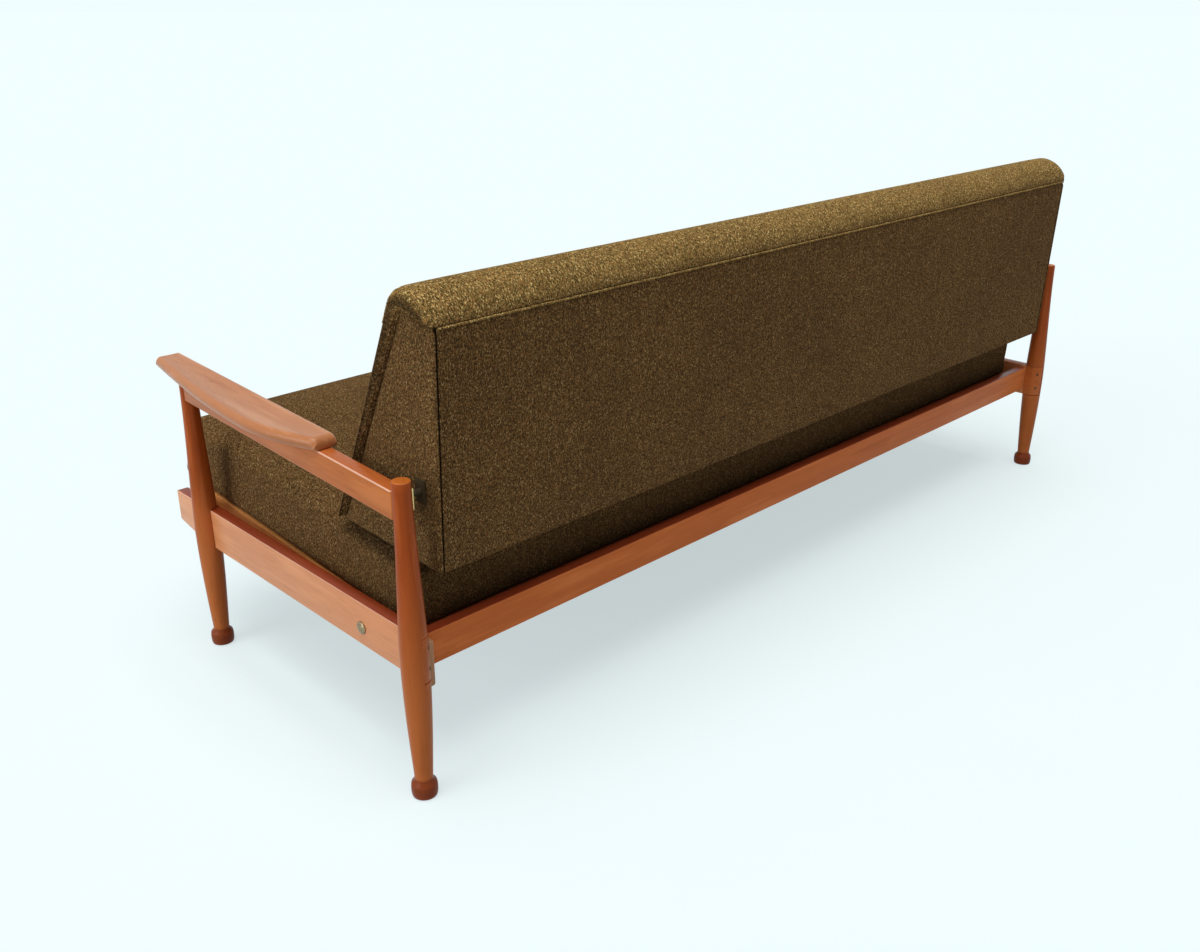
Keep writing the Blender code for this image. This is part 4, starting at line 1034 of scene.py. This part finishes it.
def pad_outline(x, inset):
    share = min(1.0, abs(x) / PAD_HALF)
    full, roll = 1 - share ** 6, 1 - share ** 24
    up = Vector((math.sin(RAKE), math.cos(RAKE)))
    out = Vector((-math.cos(RAKE), math.sin(RAKE)))
    foot = Vector((front_line(FOOT_Z), FOOT_Z))
    head = Vector((front_line(BACK_TOP), BACK_TOP)) + up * 0.016
    line = []
    for i in range(FRONT_STEPS + 1):
        t = i / FRONT_STEPS
        thick = mix(0.014, 0.027, t) + 0.016 * full * math.sin(math.pi * t)
        line.append(foot.lerp(head, t) + out * thick)
    seam = Vector((rear_line(BACK_TOP), BACK_TOP + 0.0006))
    over = line[-1] + up * mix(0.056, 0.060, roll)
    rear = seam + Vector((0.0, mix(0.038, 0.042, roll)))
    start = line[-1]
    line += [bezier(start, over, rear, seam, i / ROLL_STEPS) for i in range(1, ROLL_STEPS + 1)]
    return [p - out * inset if i <= FRONT_STEPS
            else p - Vector((0.0, inset * (1 - (i - FRONT_STEPS) / ROLL_STEPS)))
            for i, p in enumerate(line)]


PAD_END, END_ROUND, END_TURN = 0.9485, 0.009, 0.010
SHOULDER = 0.011                # how much more the roll is rounded at its ends than the front
END_REACH = 0.018               # the length of the back over which its ends are rounded
UNDERSIZE = 0.0015              # the cover is sewn this much smaller than its filling
PAD_LIMIT, SEWN_IN = 0.9515, 0.0150   # half the pad's length, and how far the seam draws it in
SIDE_RISE = 0.0200              # how far the side covers rise towards the front


def pad_inner(rise):
    """The side of the padding that lies on the boards: up the front, then over the top to the seam."""
    head = BACK_TOP + rise
    heights = [mix(FOOT_Z, head, i / FRONT_STEPS) for i in range(FRONT_STEPS + 1)]
    line = [Vector((front_line(z) - SEAM_GAP, z)) for z in heights]
    end = Vector((rear_line(BACK_TOP) - 0.0012, BACK_TOP + SEAM_GAP))
    start = Vector((front_line(head), head + SEAM_GAP))
    return line + [start.lerp(end, i / ROLL_STEPS) for i in range(1, ROLL_STEPS + 1)]


def pad_pairs(x, round_share):
    """Outer and inner points at one place along the back, drawn together where the end is rounded."""
    pairs = []
    rise = SIDE_RISE if abs(x) > BOARD_HALF + 0.002 else 0.0
    for i, (outer, inner) in enumerate(zip(pad_outline(x, UNDERSIZE), pad_inner(rise))):
        over_top = max(0.0, (i - FRONT_STEPS) / ROLL_STEPS)
        fall = (END_ROUND + SHOULDER * math.sin(math.pi * over_top)) * round_share
        span = inner - outer
        limit = 0.45 * span.length
        way = span.normalized()
        pairs.append((outer + way * min(fall, limit), inner - way * min(END_TURN * round_share, limit)))
    return pairs


def pad_skin(name, places):
    """Rings of outer and inner points along the back, closed at both ends by a strip with a middle line."""
    half = FRONT_STEPS + ROLL_STEPS + 1
    count = 2 * half
    points, faces = [], ring_faces(len(places), count)
    for x, share in places:
        pairs = pad_pairs(x, share)
        line = [o for o, _ in pairs] + [n for _, n in reversed(pairs)]
        points += [(x + PIVOT.x, p.x + PIVOT.y, p.y + PIVOT.z) for p in line]
    for ring in (0, len(places) - 1):
        start, mids = ring * count, len(points)
        bulge = math.copysign(0.0012, places[ring][0])
        for j in range(half):
            outer, inner = np.array(points[start + j]), np.array(points[start + count - 1 - j])
            points.append(tuple((outer + inner) / 2 + (bulge, 0.0, 0.0)))
        for j in range(half - 1):
            faces.append((start + j, start + j + 1, mids + j + 1, mids + j))
            faces.append((mids + j, mids + j + 1, start + count - 2 - j, start + count - 1 - j))
        faces.append((start, mids, start + count - 1))
        faces.append((start + half - 1, mids + half - 1, start + half))
    return new_piece(name, points, faces)


end_places = []
for step in range(10):
    turn = math.pi / 2 * (1 - step / 9)
    end_places.append((PAD_END - END_REACH * (1 - math.sin(turn)), 1 - math.cos(turn)))
end_places += [(PAD_END - END_REACH - 0.006 - 0.0115 * i, 0.0) for i in range(80)]
places = [(x, share) for x, share in end_places if x > 0.006]
right_to_left = [(-x, share) for x, share in places] + places[::-1]
back_pad = pad_skin("back_pad_cover", right_to_left)
p = points_of(back_pad) - np.array(PIVOT)
front_depth = (p[:, 1] - front_line(p[:, 2])) * math.cos(RAKE)
on_front = np.clip((front_depth + 0.0060) / 0.0050, 0, 1)
on_top = np.clip((BACK_TOP + 0.0060 - p[:, 2]) / 0.0050, 0, 1)
held = np.where(p[:, 2] < BACK_TOP + 0.0002, on_front, on_top)
held = np.maximum(held, np.clip((FOOT_Z + 0.020 - p[:, 2]) / 0.015, 0, 1))
swell(back_pad, held, 0.004)
pad_points = points_of(back_pad)
sewn_down = (pad_points[:, 1] > 0.385) * np.clip(1 - (pad_points[:, 2] - 0.7455) / 0.016, 0, 1)
reach = PAD_LIMIT - SEWN_IN * sewn_down
pad_points[:, 0] = np.clip(pad_points[:, 0], -reach, reach)
set_points(back_pad, pad_points)
refine(back_pad)
upholster(back_pad, "back", pad_cloth, 0.85, "back_pad")

# %% [markdown]
# ## Side panels and rear panel
# The ends and the rear of the wedge are covered with panels that are only thinly padded. Each is a
# grid laid on the board, turned back round its border and closed behind. The end covers are so thin
# that their crown is given; the rear one is pressed out a little by cloth simulation.

# %% Panels of the back
FIRM = 4                        # rows of faces at the border that the filling can't move


def panel(name, columns, rows, surface, inner, facing):
    """A thin padded panel: surface(i, j) is its face and inner(i, j) the border that meets the board."""
    alone_none()
    bpy.ops.mesh.primitive_grid_add(x_subdivisions=columns, y_subdivisions=rows, size=1)
    made = named(name)
    shares = points_of(made)[:, :2] + 0.5
    places = np.round(shares * (columns, rows)).astype(int)
    from_border = np.minimum(places, (columns, rows) - places).min(1)
    bpy.ops.object.mode_set(mode="EDIT")
    bpy.ops.mesh.select_all(action="SELECT")
    bpy.ops.mesh.region_to_loop()
    bpy.ops.mesh.extrude_edges_move()
    bpy.ops.object.mode_set(mode="OBJECT")
    count, points = len(places), points_of(made)
    edge = np.round((points[count:, :2] + 0.5) * (columns, rows)).astype(int)
    set_points(made, np.array([surface(*p) for p in places] + [inner(*p) for p in edge]))
    outwards(made)
    middle = made.data.polygons[(rows // 2) * columns + columns // 2].normal
    if middle.dot(Vector(facing)) < 0:
        made.data.flip_normals()
    return made, np.concatenate([np.clip(1 - (from_border - FIRM) / FIRM, 0, 1), np.ones(len(edge))])


def close_back(cover):
    """Fill the open side of a panel, where it lies on the board."""
    alone(cover)
    bpy.ops.object.mode_set(mode="EDIT")
    bpy.ops.mesh.select_mode(type="EDGE")
    bpy.ops.mesh.select_all(action="DESELECT")
    bpy.ops.mesh.select_non_manifold(extend=False)
    bpy.ops.mesh.edge_face_add()
    bpy.ops.object.mode_set(mode="OBJECT")


def stops(length, fine, count):
    """Places along a side: close together near both ends, even between them."""
    reach = fine[-1]
    return list(fine) + [mix(reach, length - reach, i / count) for i in range(1, count)] \
        + [length - f for f in reversed(fine)]


def rounding(distance, radius):
    """Height of a rounded edge, from 0 at the edge to 1 past its radius."""
    if distance >= radius:
        return 1.0
    return math.sqrt(max(0.0, 1 - (1 - distance / radius) ** 2))


BOARD_X = 0.9333
BACK_HEIGHT = BACK_TOP - BACK_LOW
SIDE_ACROSS = 44                # columns from the front edge into the rear corner
SIDE_THICK, SIDE_CROWN = 0.0065, 0.0035
CORNER = 0.0045
side_rise = stops(1.0, (0.0, 0.0015, 0.004, 0.008, 0.0135, 0.022, 0.035), 40)


def side_section(z, crown):
    """Section of a side cover at one height, from its front edge round the rear corner to the seam."""
    front, rear = front_line(z) + 0.0005, rear_line(z) + 0.0004
    turn = [math.pi / 2 * k / 5 for k in range(6)]
    line = [(SIDE_THICK - CORNER + CORNER * math.sin(a), front + CORNER - CORNER * math.cos(a)) for a in turn]
    for i in range(1, 36):
        t = i / 36
        out = SIDE_THICK + SIDE_CROWN * crown * (1 - (2 * t - 1) ** 4)
        line.append((out, mix(front + CORNER, rear - CORNER, t)))
    line += [(SIDE_THICK - CORNER + CORNER * math.cos(a), rear - CORNER + CORNER * math.sin(a)) for a in turn]
    return line + [(0.0014, rear - 0.0004), (0.0007, rear - 0.0018), (0.0002, rear - 0.0042)]


def side_point(sign, i, j, sunk=False):
    v = side_rise[j]
    share = min(1.0, i / SIDE_ACROSS)
    top = BACK_TOP + SIDE_RISE * (1 - share) - 0.004 * max(0.0, share * 5 - 4) ** 2
    z = mix(mix(FOOT_Z, BACK_LOW, share), top, v)
    x, y = side_section(z, 1 - (2 * v - 1) ** 4)[i]
    soft = min(rounding(v * BACK_HEIGHT, 0.005), rounding((1 - v) * BACK_HEIGHT, 0.006))
    core = min(max(y, front_line(z) + 0.004), rear_line(z) - 0.004)
    x, y = x * mix(0.25, 1.0, soft), mix(core, y, soft)
    if sunk:
        x, y = 0.0, min(y, rear_line(z) - 0.003)
    return (sign * (BOARD_X + x), y + PIVOT.y, z + PIVOT.z)


side_columns, side_rows = len(side_section(0.0, 1.0)) - 1, len(side_rise) - 1
for side, sign in SIDES:
    cover, _ = panel(f"back_{side}_side_cover", side_columns, side_rows,
                     lambda i, j: side_point(sign, i, j),
                     lambda i, j: side_point(sign, i, j, True), (sign, 0.0, 0.0))
    refine(cover)
    close_back(cover)
    upholster(cover, "back", panel_cloth, 0.5, f"back_{side}_side_panel")

REAR_EDGE = {"side": 0.0022, "low": 0.0060, "top": 0.0030}
rear_x = stops(2 * BOARD_HALF, (0.0, 0.0004, 0.0011, 0.0022, 0.0045, 0.009), 150)
rear_z = stops(BACK_HEIGHT, (0.0, 0.0006, 0.0017, 0.0034, 0.0060, 0.010), 34)


def rear_point(i, j, sunk=False):
    x, rise = rear_x[i] - BOARD_HALF, rear_z[j]
    z = BACK_LOW + rise
    soft = min(rounding(BOARD_HALF - abs(x), REAR_EDGE["side"]), rounding(rise, REAR_EDGE["low"]),
               rounding(BACK_TOP - z, REAR_EDGE["top"]))
    crown = 0.0022 * (1 - abs(x / BOARD_HALF) ** 6) * (1 - (2 * rise / BACK_HEIGHT - 1) ** 4)
    depth = 0.0078 if sunk else 0.0050 * (1 - soft) - crown
    return (x, rear_line(z) - depth + PIVOT.y, z + PIVOT.z)


rear_cover, held = panel("back_rear_cover", len(rear_x) - 1, len(rear_z) - 1, rear_point,
                         lambda i, j: rear_point(i, j, True), (0.0, 1.0, 0.0))
swell(rear_cover, held, 0.0015, 2.0)
refine(rear_cover)
close_back(rear_cover)
upholster(rear_cover, "back", panel_cloth, 0.5, "back_rear_panel")

# %% [markdown]
# ## Piping
# Where two covers meet, the upholsterer sews in a thin cord in the same cloth. It lies along the top
# seam at the rear, and round the ends of the rolled padding. A cord is a path with a round section;
# it becomes a mesh so that the weave can be laid on it.

# %% Piping along the seams
def piping(name, path, radius):
    line = bpy.data.curves.new(name, "CURVE")
    line.dimensions = "3D"
    line.bevel_depth, line.bevel_resolution, line.use_fill_caps = radius, 3, True
    spline = line.splines.new("POLY")
    spline.points.add(len(path) - 1)
    for point, place in zip(spline.points, path):
        point.co = (*place, 1.0)
    cord = bpy.data.objects.new(name, line)
    bpy.context.scene.collection.objects.link(cord)
    alone(cord)
    bpy.ops.object.convert(target="MESH")
    cord = named(name)
    bpy.ops.object.shade_smooth()
    lay_weave(cord)
    return hand_over(cord, "back", "tweed", piping_cloth)


def to_room(x, y, z):
    return Vector((x, y, z)) + PIVOT


def laid_on(piece, path, sunk):
    """A path drawn onto the surface of a piece and pressed into it a little."""
    laid = []
    for place in path:
        found, spot, normal, _ = piece.closest_point_on_mesh(place)
        laid.append(spot - normal * sunk if found else place)
    return laid


SEAM_HALF = 0.931
seam_y, seam_z = rear_line(BACK_TOP) + 0.0004, BACK_TOP + 0.0002
seam_path = [to_room(mix(-SEAM_HALF, SEAM_HALF, i / 60), seam_y, seam_z) for i in range(61)]
piping("back_top_seam_piping", seam_path, 0.0019)
for side, sign in SIDES:
    for i, (back_off, inset) in enumerate(((0.0015, 0.006), (0.0060, 0.002)), start=1):
        ring = pad_outline(PAD_END, inset)[22:52]
        path = [to_room(sign * (PAD_END - back_off), p.x, p.y) for p in ring]
        piping(f"back_{side}_roll_stitching_{i}", laid_on(back_pad, path, 0.0002), 0.0015)

# %% [markdown]
# ## Finishes for the CAD pieces that stay
# Boards, straps, plates and pins have the right shape already, so they keep their CAD form and only
# get a finish.

# %% Carried-over pieces
def look_for(name):
    if name.startswith("webbing"):
        return webbing
    # The back plate is coloured as painted shade, like the shaded cloth beside it.
    if name.endswith("back_plate"):
        return plate_painted_shade
    if name.endswith("pivot_pin"):
        return dark_steel
    # These take the darker, redder wood: partly painted shade and red bounce light.
    if name in ("rear_ledger", "seat_frame_front", "seat_frame_rear"):
        return red_cross_wood
    if name.startswith("seat_frame") or name.endswith("spacer"):
        return pale_wood
    return plywood


stood_for = {n for o in bpy.context.scene.objects for n in o.get("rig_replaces", [])}
for name, node in frame["nodes"].items():
    if name not in stood_for:
        node.data.materials.clear()
        node.data.materials.append(look_for(name))
print("carried over", len(frame["nodes"]) - len(stood_for))

# %% [markdown]
# ## Floor, light and camera
# The sofa stands on a pale sweep. A broad light hangs right above it, so the rear of the back is in
# soft shade, and a second, weaker one lights the left end. The camera looks from behind and above.

# %% Floor
def seen_directly(wire):
    """1 for rays from the camera, mirrors and glass, 0 for light that only bounces."""
    path = wire.node("LightPath", None, None, "Is Camera Ray")
    outlets = path.socket.node.outputs
    total = path + Wire(wire.tree, outlets["Is Glossy Ray"]) + Wire(wire.tree, outlets["Is Transmission Ray"])
    return total.between(0.4, 0.6)


alone_none()
bpy.ops.mesh.primitive_plane_add(size=120, location=(0, 0, 0))
floor = named("floor")
paper, shader, wire = new_finish("floor_paper", roughness=0.9, specular_ior_level=0.0)
grit = wire.noise(wire.place(), 3.0, 3.0)
bright = wire.colour(grit, rgb(0.305, 0.337, 0.345), rgb(0.315, 0.347, 0.355))
shown = seen_directly(wire)
feed(wire, shader, base_color=wire.colour(shown, rgb(0.50, 0.51, 0.52), bright),
     emission_color=wire.colour(shown, rgb(0.0, 0.0, 0.0), rgb(0.525, 0.594, 0.605)))
shader.inputs["Emission Strength"].default_value = 1.0
floor.data.materials.append(paper)

# %% Light
world = bpy.data.worlds.new("studio")
bpy.context.scene.world = world
world.use_nodes = True
sky = Wire(world.node_tree)
background = world.node_tree.nodes["Background"]
tint = sky.colour(seen_directly(sky), rgb(0.23, 0.233, 0.242), rgb(0.88, 0.985, 1.0))
sky.tree.links.new(tint.socket, background.inputs["Color"])
background.inputs["Strength"].default_value = 1.0


def sun(name, towards, strength, spread, colour):
    """A far, soft lamp. towards is the way from the sofa to the lamp."""
    alone_none()
    bpy.ops.object.light_add(type="SUN", location=Vector(towards) * 4)
    lamp = bpy.context.object
    lamp.name = name
    lamp.rotation_euler = (-Vector(towards)).to_track_quat("-Z", "Y").to_euler()
    lamp.data.energy, lamp.data.angle, lamp.data.color = strength, math.radians(spread), colour
    return lamp


sun("key_light", (0.15, 0.08, 0.985), 2.6, 50, (1.0, 0.985, 0.95))
sun("end_light", (0.92, -0.15, 0.35), 1.2, 40, (0.97, 1.02, 1.07))

# %% Camera
alone_none()
bpy.ops.object.camera_add()
camera = bpy.context.object
camera.data.sensor_width = 36.0
camera.data.lens = 34.747
camera.matrix_world = Matrix(((-0.7111, -0.2710, 0.6487, 1.8389),
                              (0.7030, -0.2782, 0.6545, 1.6397),
                              (0.0031, 0.9215, 0.3884, 1.1689),
                              (0.0, 0.0, 0.0, 1.0)))
camera.data.clip_end = 200.0
bpy.context.scene.camera = camera
bpy.context.scene.view_settings.view_transform = "Standard"
